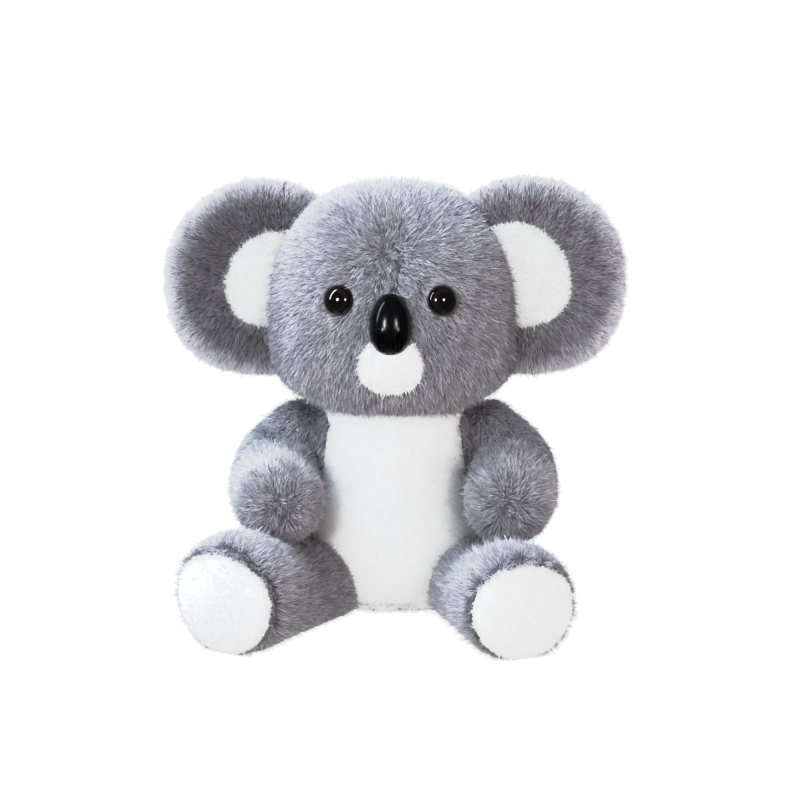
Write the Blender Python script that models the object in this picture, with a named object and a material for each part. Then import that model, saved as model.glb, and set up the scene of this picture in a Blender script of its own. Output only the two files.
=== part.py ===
"""Seated plush koala. Metres, +Z up, facing -Y. Left and right are the koala's own.

Every cover is a shell of cloth with its pressed pile. A smaller piece is cut by the larger one that
carries it, at rest and at the limits of the seam that it flexes on.
"""

import math

import bmesh
import bpy
from mathutils import Matrix, Vector

SIDES = {"right": -1, "left": 1}

# Cloth and fits
WALL = 0.0025  # thickness of a cover
GAP = 0.0003  # clearance between pieces that touch
FILL_GAP = 0.0005  # between a cover and its stuffing
SWEEP_GAP_SHARE = 0.8  # of GAP, left at the limits of a motion
FLOOR_CUT = 0.0005  # depth that a resting form is cut flat
OVERRUN = 0.03  # how far a cutter runs past what it cuts

# Torso
TORSO_HALF_WIDTH = 0.048
TORSO_HALF_DEPTH = 0.044
TORSO_WIDEST_HEIGHT = 0.035
TORSO_BOWL_EXPONENT = 2.6
TORSO_OUTLINE_EXPONENT = 2.3
ROUND_EXPONENT = 2

# Neck: a ball on the torso turns in a dish under the head, with a drawn thread between them
NECK_HEIGHT = 0.080
NECK_RADIUS = 0.040
THREAD_DIAMETER = 0.0008
THREAD_STITCHES = 20
THREAD_ANGLE = math.radians(53)
THREAD_SWING_ANGLE = math.radians(2.5)

# Belly panel, as shares of the torso's half width and of the neck's height, from the top down
BELLY_OUTLINE_SHARES = (
    (0.60, 1.30),
    (0.65, 1.19),
    (0.70, 1.00),
    (0.75, 0.78),
    (0.82, 0.56),
    (0.76, 0.34),
    (0.58, 0.12),
    (0.42, 0.04),
)
BELLY_BACK = -0.008  # the panel lies in front of this

# Pellet pouch in the seat
POUCH_RADIUS = 0.028
POUCH_HALF_HEIGHT = 0.008
POUCH_SINK = 0.0015  # of the pouch into the seat, which flattens its underside

# Head
HEAD_HALF_WIDTH = 0.0605
HEAD_HALF_DEPTH = 0.052
HEAD_RISE = 0.060  # from the middle of the neck's ball to the widest level
HEAD_ABOVE = 0.071
HEAD_BELOW = 0.039
HEAD_UPPER_EXPONENT = 2.5
HEAD_LOWER_EXPONENT = 3
HEAD_OUTLINE_EXPONENT = 2.3
FACE_SHIFT = -0.0017  # of the eyes, nose and muzzle, sewn a little to one side
MUZZLE_BULGE = 0.005
MUZZLE_BULGE_RADIUS = 0.025
MUZZLE_HALF_WIDTH = 0.0168
MUZZLE_HALF_HEIGHT = 0.0138
MUZZLE_DROP = 0.010  # of the patch's middle below the head's widest level
MUZZLE_EXPONENT = 2.2
MUZZLE_WINDOW_DEPTH = 0.016  # behind the head's front, short of the dish

# Ears
EAR_RADIUS = 0.0475
EAR_HALF_THICKNESS = 0.012
EAR_STANDOFF = 0.0045  # of the ear's middle beyond the head's side
EAR_RISE = {"right": 0.0235, "left": 0.0262}
EAR_BACK = {"right": 0.009, "left": -0.005}
EAR_UPPER_EXPONENT = 2
EAR_LOWER_EXPONENT = 2.5  # its lower corners are squarer
EAR_PUFF_EXPONENT = 2.4
EAR_PATCH_INSET = 0.0005  # of the patch's middle inside the head's side
EAR_PATCH_DROP = 0.002  # below the ear's middle
EAR_PATCH_OUTWARD = {"right": 0.0224, "left": 0.0254}
EAR_PATCH_INWARD = 0.035
EAR_PATCH_ABOVE = {"right": 0.0255, "left": 0.0288}
EAR_PATCH_BELOW = 0.0202
EAR_PATCH_UPPER_EXPONENT = 1.8
EAR_PATCH_LOWER_EXPONENT = 2.4
EAR_HINGE_INSET = 0.0045
EAR_HINGE_LEAN = math.radians(10)
EAR_FLAP = math.radians(12)

# Eyes, nose and their locking washers
EYE_RADIUS = 0.0075
EYE_HALF_DEPTH = 0.0055
EYE_OUT = 0.0245
EYE_RISE = 0.0206
SHANK_RADIUS = 0.002
SHANK_LENGTH = 0.0095
WASHER_RADIUS = 0.006
WASHER_THICKNESS = 0.0015
WASHER_SETBACK = 0.0022  # behind the cover, so that the rim clears its curve
NOSE_HALF_WIDTH = 0.0098
NOSE_HALF_HEIGHT = 0.0147
NOSE_HALF_DEPTH = 0.0095
NOSE_RISE = 0.0100
NOSE_TAPER_SHARE = 0.12
NOSE_EXPONENT = 2.2
NOSTRIL_OUT = 0.0042
NOSTRIL_DROP = 0.0075
NOSTRIL_HALF_WIDTH = 0.0021
NOSTRIL_HALF_HEIGHT = 0.0036
NOSTRIL_DEPTH = 0.0022

# Legs
HIP_INSET = 0.014  # of the hip inside the torso's side
HIP_SETBACK = 0.020  # of the hip behind the torso's front
HIP_RADIUS = 0.0190
THIGH_RADIUS = 0.0195
FOOT_RADIUS = {"right": 0.0268, "left": 0.0252}
SOLE_NARROWING = 0.0014  # of the foot where its sole is sewn on
LEG_LENGTH = 0.081  # from the hip to where the sole's dome starts
LEG_STATION_SHARES = (0, 0.42, 0.84, 1)
SOLE_DEPTH = 0.0085
SOLE_SEAM = 0.001  # beyond the dome's start
SOLE_EXPONENT = 2.2
LEG_YAW = {"right": math.radians(33), "left": math.radians(18)}
LEG_SPLAY = (math.radians(-8), math.radians(12))

# Arms
SHOULDER_SEAT_DEPTH = 0.0033  # of the flat seat into the side of the neck's ball
SHOULDER_SEAT_RADIUS = 0.017
SHOULDER_RISE = 0.0045  # above the middle of the neck's ball
SHOULDER_OUT = 0.0093  # of the arm's first station beyond its seat
SHOULDER_RADIUS = 0.0158
UPPER_ARM_RADIUS = 0.0193
UPPER_ARM_OUT = 0.0198
UPPER_ARM_FORWARD = 0.007
UPPER_ARM_DROP_SHARE = 0.6  # of the way down from the shoulder to the forearm
FOREARM_RADIUS = 0.0193
FOREARM_OUT = 0.0218
FOREARM_FORWARD = 0.029
PAW_RADIUS = 0.0188
PAW_OUT = 0.0186
PAW_FORWARD = 0.0515
PAW_CLEARANCE = 0.0064  # over the thigh
FOREARM_CLEARANCE = 0.0066
ARM_SWING = (0, math.radians(12), math.radians(24), math.radians(35))

# How finely the outer forms and the forms inside them are faceted
OUTER = {"head": (26, 12), "torso": (24, 4), "ear": (24, 8), "arm": (15, 7), "leg": (16, 5)}
INNER = {"head": (18, 8), "torso": (16, 3), "ear": (14, 6), "arm": (10, 5), "leg": (11, 4)}
ROUND_SEGMENTS = 18
ROUND_COUNTS = (18, 12)
NOSTRIL_COUNTS = (12, 8)
PANEL_SEGMENTS = 20
SHARP_ANGLE = math.radians(40)


def clear_scene():
    for thing in list(bpy.data.objects):
        bpy.data.objects.remove(thing, do_unlink=True)


def rounded(angle, exponent):
    """Point at this angle on a unit outline, a circle at 2 and squarer above it."""
    across = math.cos(angle)
    up = math.sin(angle)
    reach = (abs(across) ** exponent + abs(up) ** exponent) ** (-1 / exponent)
    return reach * across, reach * up


def level_ring(half_width, half_depth, height, exponent, segments):
    ring = []
    for index in range(segments):
        across, back = rounded(math.tau * index / segments, exponent)
        ring.append(Vector((half_width * across, half_depth * back, height)))
    return ring


def new_object(name, mesh):
    thing = bpy.data.objects.new(name, mesh)
    bpy.context.scene.collection.objects.link(thing)
    return thing


def join_loops(shape, lower, upper):
    """Triangles between two loops, split the same way on every form."""
    count = len(lower)
    for index in range(count):
        after = (index + 1) % count
        shape.faces.new((lower[index], lower[after], upper[after]))
        shape.faces.new((lower[index], upper[after], upper[index]))


def loft(name, rings, start=None, end=None):
    """Closed mesh through rings of equal count. An end with no pole is closed flat."""
    shape = bmesh.new()
    loops = [[shape.verts.new(point) for point in ring] for ring in rings]
    for lower, upper in zip(loops, loops[1:]):
        join_loops(shape, lower, upper)
    for loop, pole in ((loops[0], start), (loops[-1], end)):
        if pole is None:
            shape.faces.new(loop)
            continue
        tip = shape.verts.new(pole)
        for index in range(len(loop)):
            shape.faces.new((loop[index], loop[(index + 1) % len(loop)], tip))
    bmesh.ops.recalc_face_normals(shape, faces=shape.faces)
    mesh = bpy.data.meshes.new(name)
    shape.to_mesh(mesh)
    shape.free()
    return new_object(name, mesh)


def as_cutter(thing):
    thing.hide_render = True
    thing.display_type = "WIRE"
    return thing


def carve(body, cutter, operation="DIFFERENCE"):
    step = body.modifiers.new(cutter.name, "BOOLEAN")
    step.operation = operation
    step.solver = "EXACT"
    step.object = as_cutter(cutter)
    return body


def settled(thing):
    """The same object with its Booleans worked into its mesh."""
    bpy.context.view_layer.update()
    graph = bpy.context.evaluated_depsgraph_get()
    mesh = bpy.data.meshes.new_from_object(thing.evaluated_get(graph))
    thing.modifiers.clear()
    thing.data = mesh
    return thing


def copy_of(thing, name, matrix=None):
    twin = new_object(name, thing.data.copy())
    if matrix is not None:
        twin.matrix_world = matrix
    return twin


def turned_about(point, axis, angle):
    return Matrix.Translation(point) @ Matrix.Rotation(angle, 4, axis) @ Matrix.Translation(-point)


def rod(name, start, end, radius):
    """Cylinder from one point to another."""
    way = (end - start).normalized()
    side = way.orthogonal().normalized()
    other = way.cross(side)
    rings = []
    for centre in (start, end):
        ring = []
        for index in range(ROUND_SEGMENTS):
            across, up = rounded(math.tau * index / ROUND_SEGMENTS, ROUND_EXPONENT)
            ring.append(centre + radius * across * side + radius * up * other)
        rings.append(ring)
    return loft(name, rings)


def puff(name, halves, exponents, counts, matrix, shape=None):
    """Pillow of three half sizes, whose rings are stacked along its own Z, placed by a matrix."""
    half_x, half_y, half_z = halves
    outline_exponent, profile_exponent = exponents
    segments, bands = counts
    rings = []
    for band in range(1, bands):
        share, rise = rounded(math.pi * (band / bands - 1 / 2), profile_exponent)
        ring = level_ring(share * half_x, share * half_y, rise * half_z, outline_exponent, segments)
        if shape is not None:
            ring = [shape(point) for point in ring]
        rings.append([matrix @ point for point in ring])
    bottom = matrix @ Vector((0, 0, -half_z))
    top = matrix @ Vector((0, 0, half_z))
    return loft(name, rings, bottom, top)


def prism(name, outline, front, back):
    """Prism along Y over an outline of X and Z."""
    rings = [[Vector((x, y, z)) for x, z in outline] for y in (front, back)]
    return loft(name, rings)


def widened(outline, margin):
    """Outline moved out by a margin. Its points run anticlockwise."""
    count = len(outline)
    moved = []
    for index in range(count):
        before = Vector(outline[index - 1])
        point = Vector(outline[index])
        after = Vector(outline[(index + 1) % count])
        way_in = (point - before).normalized()
        way_out = (after - point).normalized()
        normal = Vector((way_in.y + way_out.y, -way_in.x - way_out.x)).normalized()
        square = Vector((way_in.y, -way_in.x))
        moved.append(tuple(point + normal * (margin / normal.dot(square))))
    return moved


def oval(middle_x, middle_z, half_width, half_height, exponent):
    points = []
    for index in range(PANEL_SEGMENTS):
        across, up = rounded(math.tau * index / PANEL_SEGMENTS, exponent)
        points.append((middle_x + half_width * across, middle_z + half_height * up))
    return points


def spine_through(stations, count):
    """Places and radii along a smooth curve through stations of place and radius."""
    last = len(stations) - 1
    course = []
    for index in range(count + 1):
        reach = last * index / count
        span = min(int(reach), last - 1)
        t = reach - span
        weights = (
            (-t + 2 * t**2 - t**3) / 2,
            (2 - 5 * t**2 + 3 * t**3) / 2,
            (t + 4 * t**2 - 3 * t**3) / 2,
            (t**3 - t**2) / 2,
        )
        place = Vector()
        radius = 0
        for weight, step in zip(weights, (-1, 0, 1, 2)):
            station_place, station_radius = stations[max(0, min(last, span + step))]
            place += weight * station_place
            radius += weight * station_radius
        course.append((place, radius))
    return course


def limb(name, stations, tip_depth, tip_exponent, inset, counts):
    """Closed limb with a round start and a domed tip."""
    segments, count = counts
    course = spine_through(stations, count)
    ways = []
    for index in range(count + 1):
        before = course[max(index - 1, 0)][0]
        after = course[min(index + 1, count)][0]
        ways.append((after - before).normalized())
    sections = []
    dome_steps = max(segments // 5, 2)
    start, start_radius = course[0]
    for step in range(1, dome_steps):
        share, reach = rounded(math.pi / 2 * (1 - step / dome_steps), ROUND_EXPONENT)
        centre = start - ways[0] * reach * (start_radius - inset)
        sections.append((centre, ways[0], share * (start_radius - inset)))
    for (place, radius), way in zip(course, ways):
        sections.append((place, way, radius - inset))
    tip, tip_radius = course[-1]
    for step in range(1, dome_steps):
        share, reach = rounded(math.pi / 2 * step / dome_steps, tip_exponent)
        centre = tip + ways[-1] * reach * (tip_depth - inset)
        sections.append((centre, ways[-1], share * (tip_radius - inset)))
    rings = []
    for centre, way, radius in sections:
        side = way.cross(Vector((0, 0, 1))).normalized()
        other = side.cross(way)
        ring = []
        for index in range(segments):
            across, up = rounded(math.tau * index / segments, ROUND_EXPONENT)
            ring.append(centre + radius * across * side + radius * up * other)
        rings.append(ring)
    first = start - ways[0] * (start_radius - inset)
    last = tip + ways[-1] * (tip_depth - inset)
    return loft(name, rings, first, last)


def neck_middle():
    return Vector((0, 0, NECK_HEIGHT))


def torso_form(name, inset, counts):
    """Pear from the floor to the neck's ball, with a flat seat for each shoulder."""
    segments, bands = counts
    rings = []
    for band in range(1, bands + 1):
        share, rise = rounded(math.pi / 2 * (band / bands - 1), TORSO_BOWL_EXPONENT)
        height = TORSO_WIDEST_HEIGHT + rise * (TORSO_WIDEST_HEIGHT + FLOOR_CUT - inset)
        half_width = share * (TORSO_HALF_WIDTH - inset)
        half_depth = share * (TORSO_HALF_DEPTH - inset)
        rings.append(level_ring(half_width, half_depth, height, TORSO_OUTLINE_EXPONENT, segments))
    for band in range(1, bands):
        share = band / bands
        ease = share**2 * (3 - 2 * share)
        height = TORSO_WIDEST_HEIGHT + share * (NECK_HEIGHT - TORSO_WIDEST_HEIGHT)
        half_width = TORSO_HALF_WIDTH + ease * (NECK_RADIUS - TORSO_HALF_WIDTH) - inset
        half_depth = TORSO_HALF_DEPTH + ease * (NECK_RADIUS - TORSO_HALF_DEPTH) - inset
        exponent = TORSO_OUTLINE_EXPONENT + ease * (ROUND_EXPONENT - TORSO_OUTLINE_EXPONENT)
        rings.append(level_ring(half_width, half_depth, height, exponent, segments))
    for band in range(bands):
        share, rise = rounded(math.pi / 2 * band / bands, ROUND_EXPONENT)
        radius = share * (NECK_RADIUS - inset)
        height = NECK_HEIGHT + rise * (NECK_RADIUS - inset)
        rings.append(level_ring(radius, radius, height, ROUND_EXPONENT, segments))
    bottom = Vector((0, 0, inset - FLOOR_CUT))
    top = Vector((0, 0, NECK_HEIGHT + NECK_RADIUS - inset))
    form = loft(name, rings, bottom, top)
    for side, sign in SIDES.items():
        seat = shoulder(sign, -inset)
        beyond = shoulder(sign, OVERRUN)
        cutter = rod(f"{name}_{side}_seat_cutter", seat, beyond, SHOULDER_SEAT_RADIUS + inset)
        carve(form, cutter)
    return settled(form)


def shoulder(sign, out=0):
    """Point on the middle line of a shoulder's flat seat, or this far out from it."""
    seat = NECK_RADIUS - SHOULDER_SEAT_DEPTH
    return Vector((sign * (seat + out), 0, NECK_HEIGHT + SHOULDER_RISE))


def head_level():
    return NECK_HEIGHT + HEAD_RISE


def dish_radius():
    return NECK_RADIUS + GAP + THREAD_DIAMETER + GAP


def bulge_at(x, z):
    """How far the muzzle stands out of the head's front."""
    across = x - FACE_SHIFT
    rise = z - head_level() + MUZZLE_DROP
    return MUZZLE_BULGE * math.exp(-(across**2 + rise**2) / MUZZLE_BULGE_RADIUS**2)


def head_form(name, inset, counts):
    """Round head with a muzzle bulge, dished underneath for the neck's ball."""
    segments, bands = counts
    rings = []
    for band in range(1, bands):
        angle = math.pi * (band / bands - 1 / 2)
        exponent = HEAD_UPPER_EXPONENT if angle > 0 else HEAD_LOWER_EXPONENT
        reach = HEAD_ABOVE if angle > 0 else HEAD_BELOW
        share, rise = rounded(angle, exponent)
        half_width = share * (HEAD_HALF_WIDTH - inset)
        half_depth = share * (HEAD_HALF_DEPTH - inset)
        height = head_level() + rise * (reach - inset)
        ring = level_ring(half_width, half_depth, height, HEAD_OUTLINE_EXPONENT, segments)
        for point in ring:
            if point.y < 0:
                point.y -= bulge_at(point.x, point.z)
        rings.append(ring)
    bottom = Vector((0, 0, head_level() - HEAD_BELOW + inset))
    top = Vector((0, 0, head_level() + HEAD_ABOVE - inset))
    form = loft(name, rings, bottom, top)
    facet_share = math.cos(math.pi / segments) * math.cos(math.pi / bands / 2)
    radius = (dish_radius() + inset) / facet_share
    exponents = (ROUND_EXPONENT, ROUND_EXPONENT)
    place = Matrix.Translation(neck_middle())
    dish = puff(f"{name}_dish_cutter", (radius,) * 3, exponents, counts, place)
    return settled(carve(form, dish))


def face_point(x, z):
    """Point on the head's front at this X and Z."""
    above = z > head_level()
    exponent = HEAD_UPPER_EXPONENT if above else HEAD_LOWER_EXPONENT
    rise = abs(z - head_level()) / (HEAD_ABOVE if above else HEAD_BELOW)
    share = (1 - rise**exponent) ** (1 / exponent)
    power = HEAD_OUTLINE_EXPONENT
    depth = (share**power - abs(x / HEAD_HALF_WIDTH) ** power) ** (1 / power)
    return Vector((x, -HEAD_HALF_DEPTH * depth - bulge_at(x, z), z))


def face_frame(x, z):
    """Place on the head's front, with its own Z pointing straight out of the cover."""
    point = face_point(x, z)
    across = face_point(x + GAP, z) - point
    up = face_point(x, z + GAP) - point
    outward = across.cross(up).normalized()
    turn = outward.to_track_quat("Z", "Y").to_matrix().to_4x4()
    return Matrix.Translation(point) @ turn


def eye_frame(sign):
    return face_frame(FACE_SHIFT + sign * EYE_OUT, head_level() + EYE_RISE)


def nose_frame():
    return face_frame(FACE_SHIFT, head_level() + NOSE_RISE)


def shank(name, frame, radius, depth):
    """Rod from just outside the cover down to a depth under it."""
    top = frame @ Vector((0, 0, SHANK_RADIUS))
    return rod(name, top, frame @ Vector((0, 0, -depth)), radius)


def washer(name, frame):
    """Flat ring on a shank, behind the cover."""
    near = -WALL - WASHER_SETBACK
    far = near - WASHER_THICKNESS
    inner = SHANK_RADIUS + GAP
    rings = []
    for radius, height in (
        (inner, near),
        (WASHER_RADIUS, near),
        (WASHER_RADIUS, far),
        (inner, far),
        (inner, near),
    ):
        ring = level_ring(radius, radius, height, ROUND_EXPONENT, ROUND_SEGMENTS)
        rings.append([frame @ point for point in ring])
    shape = bmesh.new()
    loops = [[shape.verts.new(point) for point in ring] for ring in rings[:-1]]
    loops.append(loops[0])
    for lower, upper in zip(loops, loops[1:]):
        join_loops(shape, lower, upper)
    bmesh.ops.recalc_face_normals(shape, faces=shape.faces)
    mesh = bpy.data.meshes.new(name)
    shape.to_mesh(mesh)
    shape.free()
    return new_object(name, mesh)


def make_eye(side, sign, face_cutter):
    frame = eye_frame(sign)
    halves = (EYE_RADIUS, EYE_RADIUS, EYE_HALF_DEPTH)
    exponents = (ROUND_EXPONENT, ROUND_EXPONENT)
    eye = puff(f"{side}_eye", halves, exponents, ROUND_COUNTS, frame)
    carve(eye, face_cutter)
    carve(eye, shank(f"{side}_eye_shank", frame, SHANK_RADIUS, SHANK_LENGTH), "UNION")
    return eye


def egg(point):
    """Narrows the nose towards its top."""
    share = 1 - NOSE_TAPER_SHARE * point.y / NOSE_HALF_HEIGHT
    return Vector((point.x * share, point.y, point.z))


def make_nose(face_cutter):
    frame = nose_frame()
    halves = (NOSE_HALF_WIDTH, NOSE_HALF_HEIGHT, NOSE_HALF_DEPTH)
    exponents = (NOSE_EXPONENT, NOSE_EXPONENT)
    nose = puff("nose", halves, exponents, ROUND_COUNTS, frame, egg)
    carve(nose, face_cutter)
    carve(nose, shank("nose_shank", frame, SHANK_RADIUS, SHANK_LENGTH), "UNION")
    sizes = (NOSTRIL_HALF_WIDTH, NOSTRIL_HALF_HEIGHT, NOSTRIL_DEPTH)
    round_all = (ROUND_EXPONENT, ROUND_EXPONENT)
    for side, sign in SIDES.items():
        down = NOSTRIL_DROP / NOSE_HALF_HEIGHT
        out = NOSTRIL_OUT / NOSE_HALF_WIDTH
        share = (1 - down**NOSE_EXPONENT - out**NOSE_EXPONENT) ** (1 / NOSE_EXPONENT)
        place = Vector((sign * NOSTRIL_OUT, -NOSTRIL_DROP, share * NOSE_HALF_DEPTH))
        matrix = frame @ Matrix.Translation(place)
        carve(nose, puff(f"{side}_nostril_cutter", sizes, round_all, NOSTRIL_COUNTS, matrix))
    return nose


def make_head(forms):
    outer, inner, filling, grown = forms
    middle = head_level() - MUZZLE_DROP
    outline = oval(FACE_SHIFT, middle, MUZZLE_HALF_WIDTH, MUZZLE_HALF_HEIGHT, MUZZLE_EXPONENT)
    front = -HEAD_HALF_DEPTH - OVERRUN
    back = MUZZLE_WINDOW_DEPTH - HEAD_HALF_DEPTH
    window = prism("muzzle_window_cutter", widened(outline, GAP), front, back + GAP)
    skin = carve(carve(copy_of(outer, "head_skin"), inner), window)
    patch = carve(copy_of(outer, "muzzle_patch"), inner)
    carve(patch, prism("muzzle_patch_limit", outline, front, back), "INTERSECT")
    stuffing = copy_of(filling, "head_stuffing")
    pieces = [skin, patch, stuffing]
    for name, frame in (
        ("right_eye", eye_frame(SIDES["right"])),
        ("left_eye", eye_frame(SIDES["left"])),
        ("nose", nose_frame()),
    ):
        carve(skin, shank(f"{name}_hole_cutter", frame, SHANK_RADIUS + GAP, SHANK_LENGTH))
        depth = SHANK_LENGTH + GAP
        carve(stuffing, shank(f"{name}_pocket_cutter", frame, WASHER_RADIUS + GAP, depth))
        pieces.append(washer(f"{name}_washer", frame))
    for side, sign in SIDES.items():
        pieces.append(make_eye(side, sign, grown))
    pieces.append(make_nose(grown))
    return pieces


def ear_middle(side, sign):
    out = HEAD_HALF_WIDTH + EAR_STANDOFF
    return Vector((sign * out, EAR_BACK[side], head_level() + EAR_RISE[side]))


def ear_hinge(side, sign):
    """Point and axis of the ear's root, leaning in with the head's side. It folds forward."""
    out = HEAD_HALF_WIDTH - EAR_HINGE_INSET
    point = Vector((sign * out, EAR_BACK[side], head_level() + EAR_RISE[side]))
    axis = Vector((math.sin(EAR_HINGE_LEAN), 0, -sign * math.cos(EAR_HINGE_LEAN)))
    return point, axis


def sweep_cutters(name, larger, hinge, angles):
    """The larger form as the hinged piece meets it at each angle of its swing."""
    point, axis = hinge
    cutters = []
    for index, angle in enumerate(angles):
        matrix = turned_about(point, axis, -angle)
        cutters.append(copy_of(larger, f"{name}_{index}_sweep_cutter", matrix))
    return cutters


def square_below(point):
    """Moves a point of the ear's lower half out to the squarer outline."""
    if point.y >= 0:
        return point
    across, down = abs(point.x), abs(point.y)
    upper, lower = EAR_UPPER_EXPONENT, EAR_LOWER_EXPONENT
    share = (across**upper + down**upper) ** (1 / upper) / (across**lower + down**lower) ** (1 / lower)
    return Vector((point.x * share, point.y * share, point.z))


def ear_form(name, side, sign, inset, counts):
    halves = (EAR_RADIUS - inset, EAR_RADIUS - inset, EAR_HALF_THICKNESS - inset)
    exponents = (EAR_UPPER_EXPONENT, EAR_PUFF_EXPONENT)
    place = Matrix.Translation(ear_middle(side, sign)) @ Matrix.Rotation(math.pi / 2, 4, "X")
    return puff(name, halves, exponents, counts, place, square_below)


def ear_patch_outline(side, sign, margin):
    """Outline of a patch that is full below and runs in under the head's side."""
    out = sign * (HEAD_HALF_WIDTH - EAR_PATCH_INSET)
    height = head_level() + EAR_RISE[side] - EAR_PATCH_DROP
    outline = []
    for index in range(PANEL_SEGMENTS):
        above = index < PANEL_SEGMENTS / 2
        exponent = EAR_PATCH_UPPER_EXPONENT if above else EAR_PATCH_LOWER_EXPONENT
        across, up = rounded(math.tau * index / PANEL_SEGMENTS, exponent)
        half_width = EAR_PATCH_OUTWARD[side] if sign * across > 0 else EAR_PATCH_INWARD
        half_height = EAR_PATCH_ABOVE[side] if above else EAR_PATCH_BELOW
        outline.append((out + half_width * across, height + half_height * up))
    return widened(outline, margin)


def make_ear(side, sign, head_grown, head_swept):
    outer = as_cutter(ear_form(f"{side}_ear_outer_form", side, sign, 0, OUTER["ear"]))
    inner = ear_form(f"{side}_ear_inner_form", side, sign, WALL, INNER["ear"])
    stuffing = ear_form(f"{side}_ear_stuffing", side, sign, WALL + FILL_GAP, INNER["ear"])
    front = EAR_BACK[side] - EAR_HALF_THICKNESS - OVERRUN
    middle = EAR_BACK[side]
    wider = ear_patch_outline(side, sign, GAP)
    window = prism(f"{side}_ear_window_cutter", wider, front, middle)
    limit = prism(f"{side}_ear_patch_limit", ear_patch_outline(side, sign, 0), front, middle)
    skin = carve(carve(copy_of(outer, f"{side}_ear_skin"), inner), window)
    patch = carve(carve(copy_of(outer, f"{side}_ear_patch"), inner), limit, "INTERSECT")
    hinge = ear_hinge(side, sign)
    cutters = sweep_cutters(f"{side}_ear", head_swept, hinge, (-EAR_FLAP, EAR_FLAP))
    for piece in (skin, patch, stuffing):
        for cutter in [head_grown] + cutters:
            carve(piece, cutter)
    return [skin, patch, stuffing]


def make_torso(outer, inner, filling):
    front = -TORSO_HALF_DEPTH - OVERRUN
    half = []
    for width_share, height_share in BELLY_OUTLINE_SHARES:
        half.append((width_share * TORSO_HALF_WIDTH, height_share * NECK_HEIGHT))
    outline = half[::-1] + [(-x, z) for x, z in half]
    window = prism("belly_window_cutter", widened(outline, GAP), front, BELLY_BACK + GAP)
    floor = floor_cutter("torso_floor_cutter")
    skin = carve(carve(carve(copy_of(outer, "back_skin"), inner), window), floor)
    panel = carve(copy_of(outer, "belly_panel"), inner)
    carve(panel, prism("belly_panel_limit", outline, front, BELLY_BACK), "INTERSECT")
    stuffing = copy_of(filling, "torso_stuffing")
    height = POUCH_HALF_HEIGHT + WALL - FLOOR_CUT + FILL_GAP - POUCH_SINK
    place = Matrix.Translation(Vector((0, 0, height)))
    halves = (POUCH_RADIUS, POUCH_RADIUS, POUCH_HALF_HEIGHT)
    exponents = (ROUND_EXPONENT, TORSO_BOWL_EXPONENT)
    pouch = puff("pellet_pouch", halves, exponents, ROUND_COUNTS, place)
    carve(pouch, filling, "INTERSECT")
    reach = (POUCH_RADIUS + GAP, POUCH_RADIUS + GAP, POUCH_HALF_HEIGHT + GAP)
    carve(stuffing, puff("pouch_pocket_cutter", reach, exponents, ROUND_COUNTS, place))
    return [skin, panel, stuffing, pouch]


def floor_cutter(name):
    """Block under the floor's level, wider than the seated koala."""
    reach = LEG_LENGTH + TORSO_HALF_WIDTH + OVERRUN
    corners = [(-reach, -reach), (reach, -reach), (reach, reach), (-reach, reach)]
    rings = [[Vector((x, y, z)) for x, y in corners] for z in (-OVERRUN, 0)]
    return loft(name, rings)


def make_neck_thread():
    """One closed ladder stitch that weaves up and down the neck's ball."""
    path = bpy.data.curves.new("neck_thread", "CURVE")
    path.dimensions = "3D"
    path.bevel_depth = THREAD_DIAMETER / 2
    path.bevel_resolution = 1
    spline = path.splines.new("POLY")
    count = 4 * THREAD_STITCHES
    spline.points.add(count - 1)
    radius = NECK_RADIUS + GAP + THREAD_DIAMETER / 2
    for index in range(count):
        turn = math.tau * index / count
        polar = THREAD_ANGLE + THREAD_SWING_ANGLE * math.sin(THREAD_STITCHES * turn)
        outward = Vector((math.sin(polar) * math.cos(turn), math.sin(polar) * math.sin(turn), 0))
        outward.z = math.cos(polar)
        place = neck_middle() + radius * outward
        spline.points[index].co = (*place, 1)
    spline.use_cyclic_u = True
    return new_object("neck_thread", path)


def hip(sign):
    out = TORSO_HALF_WIDTH - HIP_INSET
    forward = TORSO_HALF_DEPTH - HIP_SETBACK
    return Vector((sign * out, -forward, HIP_RADIUS - FLOOR_CUT))


def leg_way(side, sign):
    yaw = LEG_YAW[side]
    return Vector((sign * math.sin(yaw), -math.cos(yaw), 0))


def leg_stations(side, sign):
    """Places along a leg that lies on the floor, and swells from the thigh to the foot."""
    stations = []
    foot = FOOT_RADIUS[side]
    radii = (HIP_RADIUS, THIGH_RADIUS, foot, foot - SOLE_NARROWING)
    rests = (HIP_RADIUS, THIGH_RADIUS, foot, foot)
    for share, radius, rest in zip(LEG_STATION_SHARES, radii, rests):
        place = hip(sign) + share * LEG_LENGTH * leg_way(side, sign)
        place.z = rest - FLOOR_CUT
        stations.append((place, radius))
    return stations


def leg_form(name, side, sign, inset, counts):
    return limb(name, leg_stations(side, sign), SOLE_DEPTH, SOLE_EXPONENT, inset, counts)


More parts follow.
